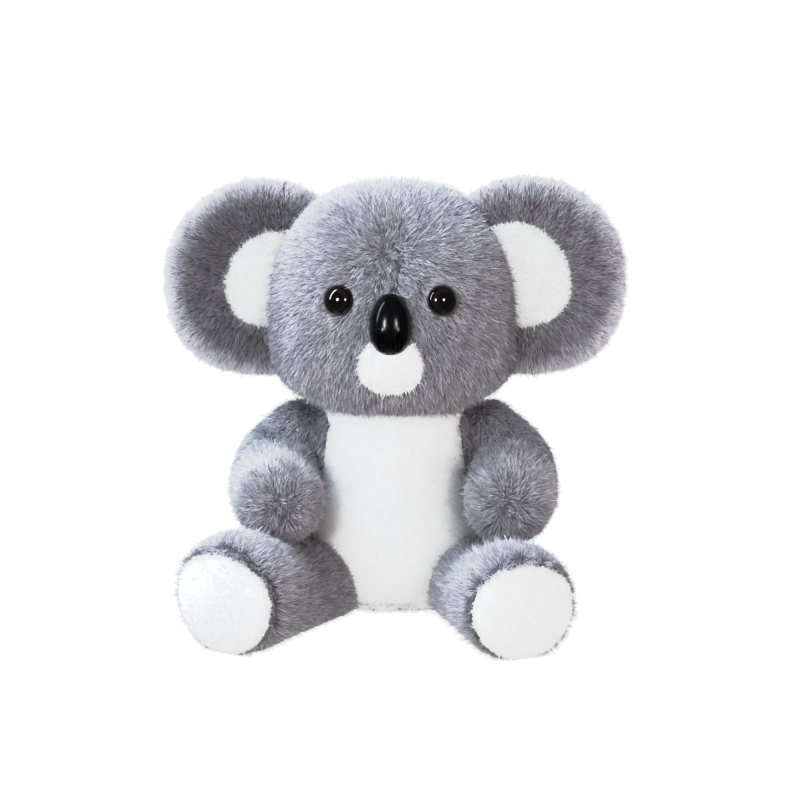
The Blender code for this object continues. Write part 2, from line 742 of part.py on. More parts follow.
def make_leg(side, sign, torso_grown, torso_swept):
    outer = as_cutter(leg_form(f"{side}_leg_outer_form", side, sign, 0, OUTER["leg"]))
    inner = leg_form(f"{side}_leg_inner_form", side, sign, WALL, INNER["leg"])
    stuffing = leg_form(f"{side}_leg_stuffing", side, sign, WALL + FILL_GAP, INNER["leg"])
    foot = leg_stations(side, sign)[-1][0]
    way = leg_way(side, sign)
    seam = foot + SOLE_SEAM * way
    beyond = foot + (SOLE_DEPTH + OVERRUN) * way
    radius = FOOT_RADIUS[side] + OVERRUN
    window = rod(f"{side}_sole_window_cutter", seam - GAP * way, beyond, radius)
    limit = rod(f"{side}_sole_patch_limit", seam, beyond, radius)
    floor = floor_cutter(f"{side}_leg_floor_cutter")
    skin = carve(carve(carve(copy_of(outer, f"{side}_leg_skin"), inner), window), floor)
    patch = carve(carve(copy_of(outer, f"{side}_sole_patch"), inner), limit, "INTERSECT")
    carve(patch, floor)
    hinge = (hip(sign), Vector((0, 0, sign)))
    cutters = sweep_cutters(f"{side}_leg", torso_swept, hinge, LEG_SPLAY)
    for piece in (skin, stuffing):
        for cutter in [torso_grown] + cutters:
            carve(piece, cutter)
    return [skin, patch, stuffing]


def arm_stations(sign):
    """Shoulder, upper arm, forearm and paw. The last two rest over the thigh."""
    root = shoulder(sign, SHOULDER_OUT)
    thigh_top = 2 * THIGH_RADIUS - FLOOR_CUT
    forearm = shoulder(sign, FOREARM_OUT)
    forearm.y = -FOREARM_FORWARD
    forearm.z = thigh_top + FOREARM_CLEARANCE + FOREARM_RADIUS
    upper = shoulder(sign, UPPER_ARM_OUT)
    upper.y = -UPPER_ARM_FORWARD
    upper.z += (forearm.z - upper.z) * UPPER_ARM_DROP_SHARE
    paw = shoulder(sign, PAW_OUT)
    paw.y = -PAW_FORWARD
    paw.z = thigh_top + PAW_CLEARANCE + PAW_RADIUS
    places = (root, upper, forearm, paw)
    radii = (SHOULDER_RADIUS, UPPER_ARM_RADIUS, FOREARM_RADIUS, PAW_RADIUS)
    return list(zip(places, radii))


def arm_form(name, sign, inset, counts):
    return limb(name, arm_stations(sign), PAW_RADIUS, ROUND_EXPONENT, inset, counts)


def make_arm(side, sign, torso_grown, torso_swept):
    skin = arm_form(f"{side}_arm_skin", sign, 0, OUTER["arm"])
    carve(skin, arm_form(f"{side}_arm_inner_form", sign, WALL, INNER["arm"]))
    stuffing = arm_form(f"{side}_arm_stuffing", sign, WALL + FILL_GAP, INNER["arm"])
    hinge = (shoulder(sign), Vector((-1, 0, 0)))
    cutters = sweep_cutters(f"{side}_arm", torso_swept, hinge, ARM_SWING[1:])
    for piece in (skin, stuffing):
        for cutter in [torso_grown] + cutters:
            carve(piece, cutter)
    return [skin, stuffing]


def finish(piece, colour, roughness):
    """Gives a piece its own material and smooth shading."""
    material = bpy.data.materials.new(piece.name)
    material.use_nodes = True
    shader = material.node_tree.nodes["Principled BSDF"]
    shader.inputs["Base Color"].default_value = (*colour, 1)
    shader.inputs["Roughness"].default_value = roughness
    shader.inputs["Metallic"].default_value = 0
    material.diffuse_color = (*colour, 1)
    piece.data.materials.clear()
    piece.data.materials.append(material)
    if piece.type == "MESH":
        piece.data.shade_smooth()
        piece.data.set_sharp_from_angle(angle=SHARP_ANGLE)


def pivot(name, point, parent=None):
    """Empty on a joint's axis, which its pieces are parented to."""
    empty = new_object(name, None)
    empty.location = point
    bpy.context.view_layer.update()
    if parent is not None:
        hang(empty, parent)
    return empty


def hang(thing, parent):
    thing.parent = parent
    thing.matrix_parent_inverse = parent.matrix_world.inverted()


def form_set(make, part):
    """A part's outer, inner, stuffing, grown and swept forms."""
    outer = as_cutter(make(f"{part}_outer_form", 0, OUTER[part]))
    inner = make(f"{part}_inner_form", WALL, INNER[part])
    filling = as_cutter(make(f"{part}_filling_form", WALL + FILL_GAP, INNER[part]))
    grown = make(f"{part}_grown_form", -GAP, OUTER[part])
    swept = as_cutter(make(f"{part}_swept_form", -GAP * SWEEP_GAP_SHARE, OUTER[part]))
    return outer, inner, filling, grown, swept


GREY = (0.215, 0.205, 0.240)
WHITE = (0.80, 0.80, 0.82)
FIBRE = (0.86, 0.85, 0.82)
BROWN = (0.018, 0.006, 0.004)
BLACK = (0.008, 0.008, 0.009)
CLEAR_GREY = (0.60, 0.60, 0.60)
THREAD = (0.25, 0.24, 0.28)
CANVAS = (0.62, 0.58, 0.50)
# Colour and roughness of each kind of piece, found by a word in its name
FINISHES = (
    ("washer", CLEAR_GREY, 0.5),
    ("eye", BROWN, 0.06),
    ("nose", BLACK, 0.28),
    ("stuffing", FIBRE, 0.95),
    ("patch", WHITE, 0.9),
    ("panel", WHITE, 0.9),
    ("pouch", CANVAS, 0.9),
    ("thread", THREAD, 0.8),
    ("skin", GREY, 0.9),
)


def finish_by_name(piece):
    for word, colour, roughness in FINISHES:
        if word in piece.name:
            finish(piece, colour, roughness)
            return


def main():
    clear_scene()
    torso_outer, torso_inner, torso_filling, torso_grown, torso_swept = form_set(
        torso_form, "torso"
    )
    head_outer, head_inner, head_filling, head_grown, head_swept = form_set(head_form, "head")
    neck = pivot("neck_pivot", neck_middle())
    hung = [(make_neck_thread(), neck)]
    for piece in make_head((head_outer, head_inner, head_filling, head_grown)):
        hung.append((piece, neck))
    for piece in make_torso(torso_outer, torso_inner, torso_filling):
        hung.append((piece, None))
    for side, sign in SIDES.items():
        ear_pivot = pivot(f"{side}_ear_pivot", ear_hinge(side, sign)[0], neck)
        for piece in make_ear(side, sign, head_grown, head_swept):
            hung.append((piece, ear_pivot))
        arm_pivot = pivot(f"{side}_arm_pivot", shoulder(sign))
        for piece in make_arm(side, sign, torso_grown, torso_swept):
            hung.append((piece, arm_pivot))
        leg_pivot = pivot(f"{side}_leg_pivot", hip(sign))
        for piece in make_leg(side, sign, torso_grown, torso_swept):
            hung.append((piece, leg_pivot))
    for piece, parent in hung:
        finish_by_name(piece)
        if parent is not None:
            hang(piece, parent)


main()
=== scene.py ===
"""Looks of the seated plush koala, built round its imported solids. Metres, +Z up, facing -Y.

Every cover is a smooth closed form with a pile of tapered hairs rooted on it. The forms repeat the part's own
sizes. Left and right are the koala's own.
"""

import math
from collections import namedtuple

import bmesh
import bpy
import numpy as np
from mathutils import Matrix, Vector


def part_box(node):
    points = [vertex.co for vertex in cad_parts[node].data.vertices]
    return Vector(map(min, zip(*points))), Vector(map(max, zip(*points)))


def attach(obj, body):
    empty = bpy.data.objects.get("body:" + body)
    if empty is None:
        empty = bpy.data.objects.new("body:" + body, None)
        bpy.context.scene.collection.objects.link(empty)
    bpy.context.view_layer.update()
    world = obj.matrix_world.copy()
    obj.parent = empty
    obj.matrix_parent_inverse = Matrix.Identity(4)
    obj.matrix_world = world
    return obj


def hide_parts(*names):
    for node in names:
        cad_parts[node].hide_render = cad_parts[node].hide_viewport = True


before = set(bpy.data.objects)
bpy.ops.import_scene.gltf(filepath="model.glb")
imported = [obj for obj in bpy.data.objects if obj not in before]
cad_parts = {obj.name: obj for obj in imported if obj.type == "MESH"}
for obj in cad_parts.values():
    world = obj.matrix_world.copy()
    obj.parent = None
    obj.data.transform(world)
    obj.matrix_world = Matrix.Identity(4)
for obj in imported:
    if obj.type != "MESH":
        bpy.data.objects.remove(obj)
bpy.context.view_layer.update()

SIDES = {"right": -1, "left": 1}
MAP_NAME = "OFBake"
SMALL_STEP = 1e-5  # for slopes

# Sizes of the part, in its own words
WALL = 0.0025
GAP = 0.0003
PILE_SINK = 0.0011  # of the backing below the part's surface, where pile stands on it
FLOOR_CUT = 0.0005
TORSO_HALF_WIDTH = 0.048
TORSO_HALF_DEPTH = 0.044
TORSO_WIDEST_HEIGHT = 0.035
TORSO_BOWL_DEPTH = TORSO_WIDEST_HEIGHT + FLOOR_CUT
TORSO_BOWL_EXPONENT = 2.6
TORSO_OUTLINE_EXPONENT = 2.3
NECK_HEIGHT = 0.080
NECK_MIDDLE = np.array([0, 0, NECK_HEIGHT])
NECK_RADIUS = 0.040
DISH_RADIUS = 0.0414
HEAD_HALF_WIDTH = 0.0605
HEAD_HALF_DEPTH = 0.052
HEAD_LEVEL = 0.140
HEAD_ABOVE = 0.071
HEAD_BELOW = 0.039
HEAD_UPPER_EXPONENT = 2.5
HEAD_LOWER_EXPONENT = 3
HEAD_OUTLINE_EXPONENT = 2.3
FACE_SHIFT = -0.0017
MUZZLE_BULGE = 0.005
MUZZLE_BULGE_RADIUS = 0.025
MUZZLE_HALF_WIDTH = 0.0168
MUZZLE_HALF_HEIGHT = 0.0138
MUZZLE_LEVEL = HEAD_LEVEL - 0.010
MUZZLE_EXPONENT = 2.2
EAR_RADIUS = 0.0475
EAR_HALF_THICKNESS = 0.012
EAR_OUT = 0.065
EAR_LEVEL = {"right": HEAD_LEVEL + 0.0235, "left": HEAD_LEVEL + 0.0262}
EAR_BACK = {"right": 0.009, "left": -0.005}
EAR_UPPER_EXPONENT = 2
EAR_LOWER_EXPONENT = 2.5
EAR_PUFF_EXPONENT = 2.4
EAR_PATCH_OUT = 0.060
EAR_PATCH_DROP = 0.002
EAR_PATCH_OUTWARD = {"right": 0.0224, "left": 0.0254}
EAR_PATCH_INWARD = 0.035
EAR_PATCH_ABOVE = {"right": 0.0255, "left": 0.0288}
EAR_PATCH_BELOW = 0.0202
EAR_PATCH_UPPER_EXPONENT = 1.8
EAR_PATCH_LOWER_EXPONENT = 2.4
EAR_HINGE_OUT = 0.056
EAR_HINGE_LEAN = math.radians(10)
EAR_FLAP = math.radians(12)
EYE_RADIUS = 0.0075
EYE_HALF_DEPTH = 0.0055
EYE_OUT = 0.0245
EYE_LEVEL = HEAD_LEVEL + 0.0206
SHANK_RADIUS = 0.002
SHANK_LENGTH = 0.0095
NOSE_HALF_WIDTH = 0.0098
NOSE_HALF_HEIGHT = 0.0147
NOSE_HALF_DEPTH = 0.0095
NOSE_LEVEL = HEAD_LEVEL + 0.010
NOSE_TAPER_SHARE = 0.12
NOSE_EXPONENT = 2.2
HIP_OUT = 0.034
HIP_FORWARD = 0.024
HIP_RADIUS = 0.0190
THIGH_RADIUS = 0.0195
FOOT_RADIUS = {"right": 0.0268, "left": 0.0252}
SOLE_NARROWING = 0.0014
LEG_LENGTH = 0.081
LEG_STATION_SHARES = (0, 0.42, 0.84, 1)
SOLE_DEPTH = 0.0085
SOLE_SEAM = 0.001
SOLE_EXPONENT = 2.2
LEG_YAW = {"right": math.radians(33), "left": math.radians(18)}
LEG_SPLAY = (math.radians(-8), math.radians(12))
SHOULDER_OUT = 0.0367
SHOULDER_LEVEL = 0.0845
ARM_PLACES = (
    (0.0460, 0, 0.0845), (0.0565, -0.0070, 0.0724), (0.0585, -0.0290, 0.0644), (0.0553, -0.0515, 0.0637)
)
ARM_RADII = (0.0158, 0.0193, 0.0193, 0.0188)
ARM_SWING = (math.radians(12), math.radians(24), math.radians(35))
BELLY_OUTLINE = (
    (0.0288, 0.1040), (0.0312, 0.0952), (0.0336, 0.0800), (0.0360, 0.0624),
    (0.0394, 0.0448), (0.0365, 0.0272), (0.0278, 0.0096), (0.0202, 0.0032),
)


def superround(angle, exponent):
    """Points at these angles on a unit outline, a circle at 2 and squarer above it."""
    across = np.cos(angle)
    up = np.sin(angle)
    reach = (np.abs(across) ** exponent + np.abs(up) ** exponent) ** (-1 / exponent)
    return reach * across, reach * up


def two_part_round(angles, above, upper_exponent, lower_exponent):
    return np.where(above, superround(angles, upper_exponent), superround(angles, lower_exponent))


def reach_of(across, up, exponent):
    """Size of the superround outline on which these points lie."""
    return (np.abs(across) ** exponent + np.abs(up) ** exponent) ** (1 / exponent)


def other_leg(reach, leg, exponent):
    """Second coordinate of points on an outline of this size, from their first."""
    return np.maximum(reach**exponent - np.abs(leg) ** exponent, 0) ** (1 / exponent)


def turn_angles(segments):
    return math.tau * np.arange(segments) / segments


def band_angles(bands):
    """Angles from pole to pole, without the poles."""
    return math.pi * (np.arange(1, bands) / bands - 1 / 2)


def level_rings(sections, segments):
    """Array of rings, points and coordinates from sections of half width, half depth, height and exponent."""
    rings = []
    for half_width, half_depth, height, exponent in sections:
        across, back = superround(turn_angles(segments), exponent)
        rings.append(np.stack([half_width * across, half_depth * back, np.full(segments, height)], 1))
    return np.array(rings)


def above_floor(rings):
    rings[..., 2] = np.maximum(rings[..., 2], 0)
    return rings


def eased(value, start, span):
    """0 up to the start, 1 from a span beyond it, and smooth between."""
    share = np.clip((value - start) / span, 0, 1)
    return share**2 * (3 - 2 * share)


def lengths(vectors):
    return np.linalg.norm(vectors, axis=-1, keepdims=True)


def distances(points, place):
    return lengths(points - place)[:, 0]


def unit(vectors):
    return vectors / np.maximum(lengths(vectors), 1e-12)


def new_object(name, data):
    thing = bpy.data.objects.new(name, data)
    bpy.context.scene.collection.objects.link(thing)
    return thing


def values_of(items, name, width=3, kind=np.float32):
    """One property of all of a mesh's items, as an array."""
    values = np.empty(len(items) * width, kind)
    items.foreach_get(name, values)
    return values.reshape(-1, width)


def mesh_object(name, points, faces, uvs=None):
    """New object from points and triangles or quads. uvs holds one pair for each corner of each face."""
    mesh = bpy.data.meshes.new(name)
    mesh.from_pydata(np.asarray(points, np.float32), [], np.asarray(faces, np.int32))
    if uvs is not None:
        layer = mesh.uv_layers.new(name=MAP_NAME)
        layer.data.foreach_set("uv", np.asarray(uvs, np.float32).ravel())
    mesh.shade_smooth()
    mesh.update()
    return new_object(name, mesh)


def closed_grid(name, rings, start, end):
    """Closed mesh through an array of rings, with a pole at each end and its rings laid out as a map."""
    count, segments = rings.shape[:2]
    corners = []
    uvs = []

    def add(*places):
        """One triangle, by the ring and step of its corners. The poles are rings -1 and count."""
        for ring, step in places:
            pole = count * segments + (ring > 0)
            corners.append(ring * segments + step % segments if 0 <= ring < count else pole)
            uvs.append(((step + 0.5) / (segments + 1), (ring + 1) / (count + 1)))

    for ring in range(count - 1):
        for step in range(segments):
            add((ring, step), (ring, step + 1), (ring + 1, step + 1))
            add((ring, step), (ring + 1, step + 1), (ring + 1, step))
    for step in range(segments):
        add((-1, step + 0.5), (0, step + 1), (0, step))
        add((count, step + 0.5), (count - 1, step), (count - 1, step + 1))
    points = np.concatenate([rings.reshape(-1, 3), [start, end]])
    return face_outwards(mesh_object(name, points, np.reshape(corners, (-1, 3)), uvs))


def grid_in_frame(name, matrix, rings, low, high):
    """Closed grid of rings given in a frame of their own, with its poles at two heights on the frame's Z."""
    turn = np.array(matrix)
    rings = rings @ turn[:3, :3].T + turn[:3, 3]
    poles = [turn[:3, :3] @ (0, 0, height) + turn[:3, 3] for height in (low, high)]
    return closed_grid(name, rings, *poles)


def face_outwards(thing):
    shape = bmesh.new()
    shape.from_mesh(thing.data)
    bmesh.ops.recalc_face_normals(shape, faces=shape.faces)
    shape.to_mesh(thing.data)
    shape.free()
    return thing


# Head

def bulge_at(x, z):
    return MUZZLE_BULGE * np.exp(-((x - FACE_SHIFT) ** 2 + (z - MUZZLE_LEVEL) ** 2) / MUZZLE_BULGE_RADIUS**2)


def head_rise(z):
    """How far up or down the head these heights are, as a share of that half, and the half's exponent."""
    above = z > HEAD_LEVEL
    rise = np.abs(z - HEAD_LEVEL) / np.where(above, HEAD_ABOVE, HEAD_BELOW)
    return rise, np.where(above, HEAD_UPPER_EXPONENT, HEAD_LOWER_EXPONENT)


def head_field(points):
    """Below 0 inside the head and above 0 outside it."""
    x, y, z = points.T
    y = np.where(y < 0, np.minimum(y + bulge_at(x, z), 0), y)
    rise, power = head_rise(z)
    reach = reach_of(x / HEAD_HALF_WIDTH, y / HEAD_HALF_DEPTH, HEAD_OUTLINE_EXPONENT)
    return reach_of(reach, rise, power) - 1


def head_front(x, z):
    """Y of the head's front at these X and Z."""
    share = other_leg(1, *head_rise(z))
    return -HEAD_HALF_DEPTH * other_leg(share, x / HEAD_HALF_WIDTH, HEAD_OUTLINE_EXPONENT) - bulge_at(x, z)


def head_cover_form(name, inset, segments, bands):
    angles = band_angles(bands)
    above = angles > 0
    share, rise = two_part_round(angles, above, HEAD_UPPER_EXPONENT, HEAD_LOWER_EXPONENT)
    half_width = share * (HEAD_HALF_WIDTH - inset)
    half_depth = share * (HEAD_HALF_DEPTH - inset)
    height = HEAD_LEVEL + rise * (np.where(above, HEAD_ABOVE, HEAD_BELOW) - inset)
    exponents = np.full(len(angles), HEAD_OUTLINE_EXPONENT)
    rings = level_rings(zip(half_width, half_depth, height, exponents), segments)
    rings[..., 1] -= np.where(rings[..., 1] < 0, bulge_at(rings[..., 0], rings[..., 2]), 0)
    start = np.array([[0, 0, HEAD_LEVEL - HEAD_BELOW + inset]])
    end = (0, 0, HEAD_LEVEL + HEAD_ABOVE - inset)
    dish = DISH_RADIUS + inset
    return closed_grid(name, out_of_neck(rings, dish), out_of_neck(start, dish)[0], end)


def out_of_neck(points, radius):
    """Moves what lies inside the neck's ball out to its surface, which makes the dish under the head."""
    offset = points - NECK_MIDDLE
    return NECK_MIDDLE + offset * np.maximum(radius / np.maximum(lengths(offset), 1e-9), 1)


def face_frame(x, z):
    """Place on the head's front, with its own Z pointing straight out of the cover."""

    def at(px, pz):
        return Vector((px, float(head_front(np.array(px), np.array(pz))), pz))

    point = at(x, z)
    outward = (at(x + GAP, z) - point).cross(at(x, z + GAP) - point).normalized()
    return Matrix.Translation(point) @ outward.to_track_quat("Z", "Y").to_matrix().to_4x4()


# Torso

def torso_sizes(z):
    """Half width, half depth and outline exponent of the torso at these heights, up to the neck."""
    ease = eased(z, TORSO_WIDEST_HEIGHT, NECK_HEIGHT - TORSO_WIDEST_HEIGHT)
    half_width = TORSO_HALF_WIDTH + ease * (NECK_RADIUS - TORSO_HALF_WIDTH)
    half_depth = TORSO_HALF_DEPTH + ease * (NECK_RADIUS - TORSO_HALF_DEPTH)
    exponent = TORSO_OUTLINE_EXPONENT + ease * (2 - TORSO_OUTLINE_EXPONENT)
    return half_width, half_depth, exponent


def torso_drop(z):
    """How far down the seat's bowl these heights are, as a share of its depth."""
    return np.maximum(TORSO_WIDEST_HEIGHT - z, 0) / TORSO_BOWL_DEPTH


def torso_field(points):
    """Below 0 inside the torso and above 0 outside it."""
    x, y, z = points.T
    half_width, half_depth, exponent = torso_sizes(z)
    low = reach_of(reach_of(x / half_width, y / half_depth, exponent), torso_drop(z), TORSO_BOWL_EXPONENT)
    return np.where(z > NECK_HEIGHT, distances(points, NECK_MIDDLE) / NECK_RADIUS, low) - 1


def torso_front(x, z):
    """Y of the torso's front at these X and Z."""
    half_width, half_depth, exponent = torso_sizes(z)
    share = other_leg(1, torso_drop(z), TORSO_BOWL_EXPONENT)
    low = half_depth * other_leg(share, x / half_width, exponent)
    ball = np.sqrt(np.maximum(NECK_RADIUS**2 - x**2 - (z - NECK_HEIGHT) ** 2, 0))
    return -np.where(z > NECK_HEIGHT, ball, low)


def torso_cover_form(name, inset, segments, bands):
    """The seat's bowl, the taper to the neck and the neck's ball, in as many bands each."""
    sections = []
    for band in range(1, bands + 1):
        share, rise = superround(math.pi / 2 * (band / bands - 1), TORSO_BOWL_EXPONENT)
        half_width = share * (TORSO_HALF_WIDTH - inset)
        half_depth = share * (TORSO_HALF_DEPTH - inset)
        height = TORSO_WIDEST_HEIGHT + rise * (TORSO_BOWL_DEPTH - inset)
        sections.append((half_width, half_depth, height, TORSO_OUTLINE_EXPONENT))
    for band in range(1, bands):
        height = TORSO_WIDEST_HEIGHT + band / bands * (NECK_HEIGHT - TORSO_WIDEST_HEIGHT)
        half_width, half_depth, exponent = torso_sizes(height)
        sections.append((half_width - inset, half_depth - inset, height, exponent))
    radius = NECK_RADIUS - inset
    for band in range(bands):
        share, rise = superround(math.pi / 2 * band / bands, 2)
        sections.append((share * radius, share * radius, NECK_HEIGHT + rise * radius, 2))
    start = (0, 0, max(inset - FLOOR_CUT, 0))
    end = (0, 0, NECK_HEIGHT + NECK_RADIUS - inset)
    return closed_grid(name, above_floor(level_rings(sections, segments)), start, end)


# Ears

def ear_cover_form(name, side, sign, inset, segments, bands):
    """Round and puffed, with a fuller lower half."""
    share, rise = superround(band_angles(bands), EAR_PUFF_EXPONENT)
    reach = share * (EAR_RADIUS - inset)
    exponents = np.full(len(reach), EAR_UPPER_EXPONENT)
    height = rise * (EAR_HALF_THICKNESS - inset)
    rings = level_rings(zip(reach, reach, height, exponents), segments)
    across, up = rings[..., 0], rings[..., 1]
    square = reach_of(across, up, EAR_UPPER_EXPONENT) / reach_of(across, up, EAR_LOWER_EXPONENT)
    rings[..., :2] *= np.where(up < 0, square, 1)[..., None]
    middle = np.array([sign * EAR_OUT, EAR_BACK[side], EAR_LEVEL[side]])
    turned = np.stack([rings[..., 0], -rings[..., 2], rings[..., 1]], -1) + middle
    pole = np.array([0, EAR_HALF_THICKNESS - inset, 0])
    return closed_grid(name, turned, middle + pole, middle - pole)


def ear_front(side, sign, x, z):
    """Y of an ear's front at these X and Z."""
    across = (x - sign * EAR_OUT) / EAR_RADIUS
    rise = (z - EAR_LEVEL[side]) / EAR_RADIUS
    upper = reach_of(across, rise, EAR_UPPER_EXPONENT)
    lower = reach_of(across, rise, EAR_LOWER_EXPONENT)
    depth = other_leg(1, np.where(rise > 0, upper, lower), EAR_PUFF_EXPONENT)
    return EAR_BACK[side] - EAR_HALF_THICKNESS * depth


def ear_patch_outline(side, sign):
    """Outline of a patch that is full below and runs in under the head's side."""
    angles = turn_angles(96)
    above = angles < math.pi
    across, up = two_part_round(angles, above, EAR_PATCH_UPPER_EXPONENT, EAR_PATCH_LOWER_EXPONENT)
    half_width = np.where(sign * across > 0, EAR_PATCH_OUTWARD[side], EAR_PATCH_INWARD)
    half_height = np.where(above, EAR_PATCH_ABOVE[side], EAR_PATCH_BELOW)
    middle = np.array([sign * EAR_PATCH_OUT, EAR_LEVEL[side] - EAR_PATCH_DROP])
    return middle + np.stack([half_width * across, half_height * up], 1)


# Limbs

def spline_weights(t):
    """Shares of four neighbouring points in a smooth curve, a share t of the way between the middle two."""
    return (
        (-t + 2 * t**2 - t**3) / 2,
        (2 - 5 * t**2 + 3 * t**3) / 2,
        (t + 4 * t**2 - 3 * t**3) / 2,
        (t**3 - t**2) / 2,
    )


def spine_through(stations, count):
    """Places and radii along a smooth curve through stations of place and radius."""
    last = len(stations) - 1
    course = []
    for index in range(count + 1):
        reach = last * index / count
        span = min(int(reach), last - 1)
        weights = spline_weights(reach - span)
        near = [stations[max(0, min(last, span + step))] for step in (-1, 0, 1, 2)]
        place = sum(weight * station[0] for weight, station in zip(weights, near))
        radius = sum(weight * station[1] for weight, station in zip(weights, near))
        course.append((place, radius))
    return course


def ring_across(centre, way, radius, segments):
    """Round ring about a centre, square to a way."""
    across, up = superround(turn_angles(segments), 2)
    side = unit(np.cross(way, (0, 0, 1)))
    other = np.cross(side, way)
    return centre + radius * (across[:, None] * side + up[:, None] * other)


def limb_form(name, stations, tip_depth, tip_exponent, inset, segments, count):
    """Closed limb with a round start and a domed tip."""
    course = spine_through(stations, count)
    ways = []
    for index in range(count + 1):
        ways.append(unit(course[min(index + 1, count)][0] - course[max(index - 1, 0)][0]))
    start, start_radius = course[0]
    tip, tip_radius = course[-1]
    start_radius -= inset
    tip_depth -= inset
    dome_steps = segments // 5
    rings = []
    for step in range(1, dome_steps):
        share, reach = superround(math.pi / 2 * (1 - step / dome_steps), 2)
        centre = start - ways[0] * reach * start_radius
        rings.append(ring_across(centre, ways[0], share * start_radius, segments))
    for (place, radius), way in zip(course, ways):
        rings.append(ring_across(place, way, radius - inset, segments))
    for step in range(1, dome_steps):
        share, reach = superround(math.pi / 2 * step / dome_steps, tip_exponent)
        centre = tip + ways[-1] * reach * tip_depth
        rings.append(ring_across(centre, ways[-1], share * (tip_radius - inset), segments))
    rings = above_floor(np.array(rings))
    return closed_grid(name, rings, start - ways[0] * start_radius, tip + ways[-1] * tip_depth)


def hip(sign):
    return np.array([sign * HIP_OUT, -HIP_FORWARD, HIP_RADIUS - FLOOR_CUT])


def leg_way(side, sign):
    return np.array([sign * math.sin(LEG_YAW[side]), -math.cos(LEG_YAW[side]), 0])


def leg_stations(side, sign):
    foot = FOOT_RADIUS[side]
    radii = (HIP_RADIUS, THIGH_RADIUS, foot, foot - SOLE_NARROWING)
    rests = (HIP_RADIUS, THIGH_RADIUS, foot, foot)
    stations = []
    for share, radius, rest in zip(LEG_STATION_SHARES, radii, rests):
        place = hip(sign) + share * LEG_LENGTH * leg_way(side, sign)
        place[2] = rest - FLOOR_CUT
        stations.append((place, radius))
    return stations


def arm_stations(sign):
    return [(np.array([sign * x, y, z]), radius) for (x, y, z), radius in zip(ARM_PLACES, ARM_RADII)]


# Cutting a smaller form by the larger one that carries it

def cut_by(thing, larger, hinge, angles):
    """Cuts a form by the larger one, at rest and as it meets it at each angle of its swing."""
    point, axis = hinge
    for angle in (0,) + tuple(angles):
        cutter = new_object(f"{thing.name}_cutter", larger.data)
        swing = Matrix.Rotation(-angle, 4, axis)
        cutter.matrix_world = Matrix.Translation(point) @ swing @ Matrix.Translation(-point)
        step = thing.modifiers.new("cut", "BOOLEAN")
        step.object = cutter
        step.solver = "EXACT"
        bpy.context.view_layer.update()
        mesh = bpy.data.meshes.new_from_object(thing.evaluated_get(bpy.context.evaluated_depsgraph_get()))
        thing.modifiers.clear()
        thing.data = mesh
        bpy.data.objects.remove(cutter)


# Materials

def new_material(name, roughness, sheen=0, coat=0, specular=0.5):
    material = bpy.data.materials.new(name)
    material.use_nodes = True
    shader = material.node_tree.nodes["Principled BSDF"]
    shader.inputs["Roughness"].default_value = roughness
    shader.inputs["Specular IOR Level"].default_value = specular
    shader.inputs["Sheen Weight"].default_value = sheen
    shader.inputs["Coat Weight"].default_value = coat
    return material, material.node_tree, shader


def ramped(tree, source, stops):
    """Colour that a source picks from stops of place and colour."""
    ramp = tree.nodes.new("ShaderNodeValToRGB")
    while len(ramp.color_ramp.elements) < len(stops):
        ramp.color_ramp.elements.new(0.5)
    for element, (place, colour) in zip(ramp.color_ramp.elements, stops):
        element.position = place
        element.color = (*colour, 1)
    tree.links.new(source, ramp.inputs[0])
    return ramp.outputs[0]


def axes_of(tree, source):
    split = tree.nodes.new("ShaderNodeSeparateXYZ")
    tree.links.new(source, split.inputs[0])
    return split.outputs


def map_axes(tree):
    """The two axes of a mesh's own map."""
    place = tree.nodes.new("ShaderNodeUVMap")
    place.uv_map = MAP_NAME
    return axes_of(tree, place.outputs[0])


def colour_mix(tree, blend="MIX"):
    mix = tree.nodes.new("ShaderNodeMix")
    mix.data_type = "RGBA"
    mix.blend_type = blend
    return mix


def pile_material(name, tones, painted_root_shade, sheen):
    """Hairs: across the map runs the tone of a hair, and up the map its way from root to tip, the roots
    darkened as a painted shade deep in the pile.
    """
    material, tree, shader = new_material(name, 0.62, sheen=sheen, specular=0.25)
    axes = map_axes(tree)
    mix = colour_mix(tree, "MULTIPLY")
    mix.inputs["Factor"].default_value = 1
    tree.links.new(ramped(tree, axes["X"], tones), mix.inputs["A"])
    shade = ramped(tree, axes["Y"], ((0, grey(painted_root_shade)), (0.7, grey(1)), (1, grey(1))))
    tree.links.new(shade, mix.inputs["B"])
    tree.links.new(mix.outputs["Result"], shader.inputs["Base Color"])
    return material


def noise_material(name, low, high, scale, roughness, bump=0.2, sheen=0, specular=0.5):
    """Two colours mixed by a noise of the object's own space, which raises the surface too."""
    material, tree, shader = new_material(name, roughness, sheen=sheen, specular=specular)
    place = tree.nodes.new("ShaderNodeTexCoord")
    noise = tree.nodes.new("ShaderNodeTexNoise")
    noise.inputs["Scale"].default_value = scale
    noise.inputs["Detail"].default_value = 4
    tree.links.new(place.outputs["Object"], noise.inputs["Vector"])
    tone = ramped(tree, noise.outputs["Fac"], ((0.3, low), (0.7, high)))
    tree.links.new(tone, shader.inputs["Base Color"])
    relief = tree.nodes.new("ShaderNodeBump")
    relief.inputs["Strength"].default_value = bump
    relief.inputs["Distance"].default_value = 0.0004
    tree.links.new(noise.outputs["Fac"], relief.inputs["Height"])
    tree.links.new(relief.outputs[0], shader.inputs["Normal"])
    return material


def eye_material():
    """Dark iris ring round a black pupil, under a clear gloss. Up the map runs the way from the middle."""
    material, tree, shader = new_material("eye_gloss", 0.08, coat=1)
    ring = ramped(tree, map_axes(tree)["Y"], IRIS_TONES)
    tree.links.new(ring, shader.inputs["Base Color"])
    return material


def grey(value):
    return (value, value, value)


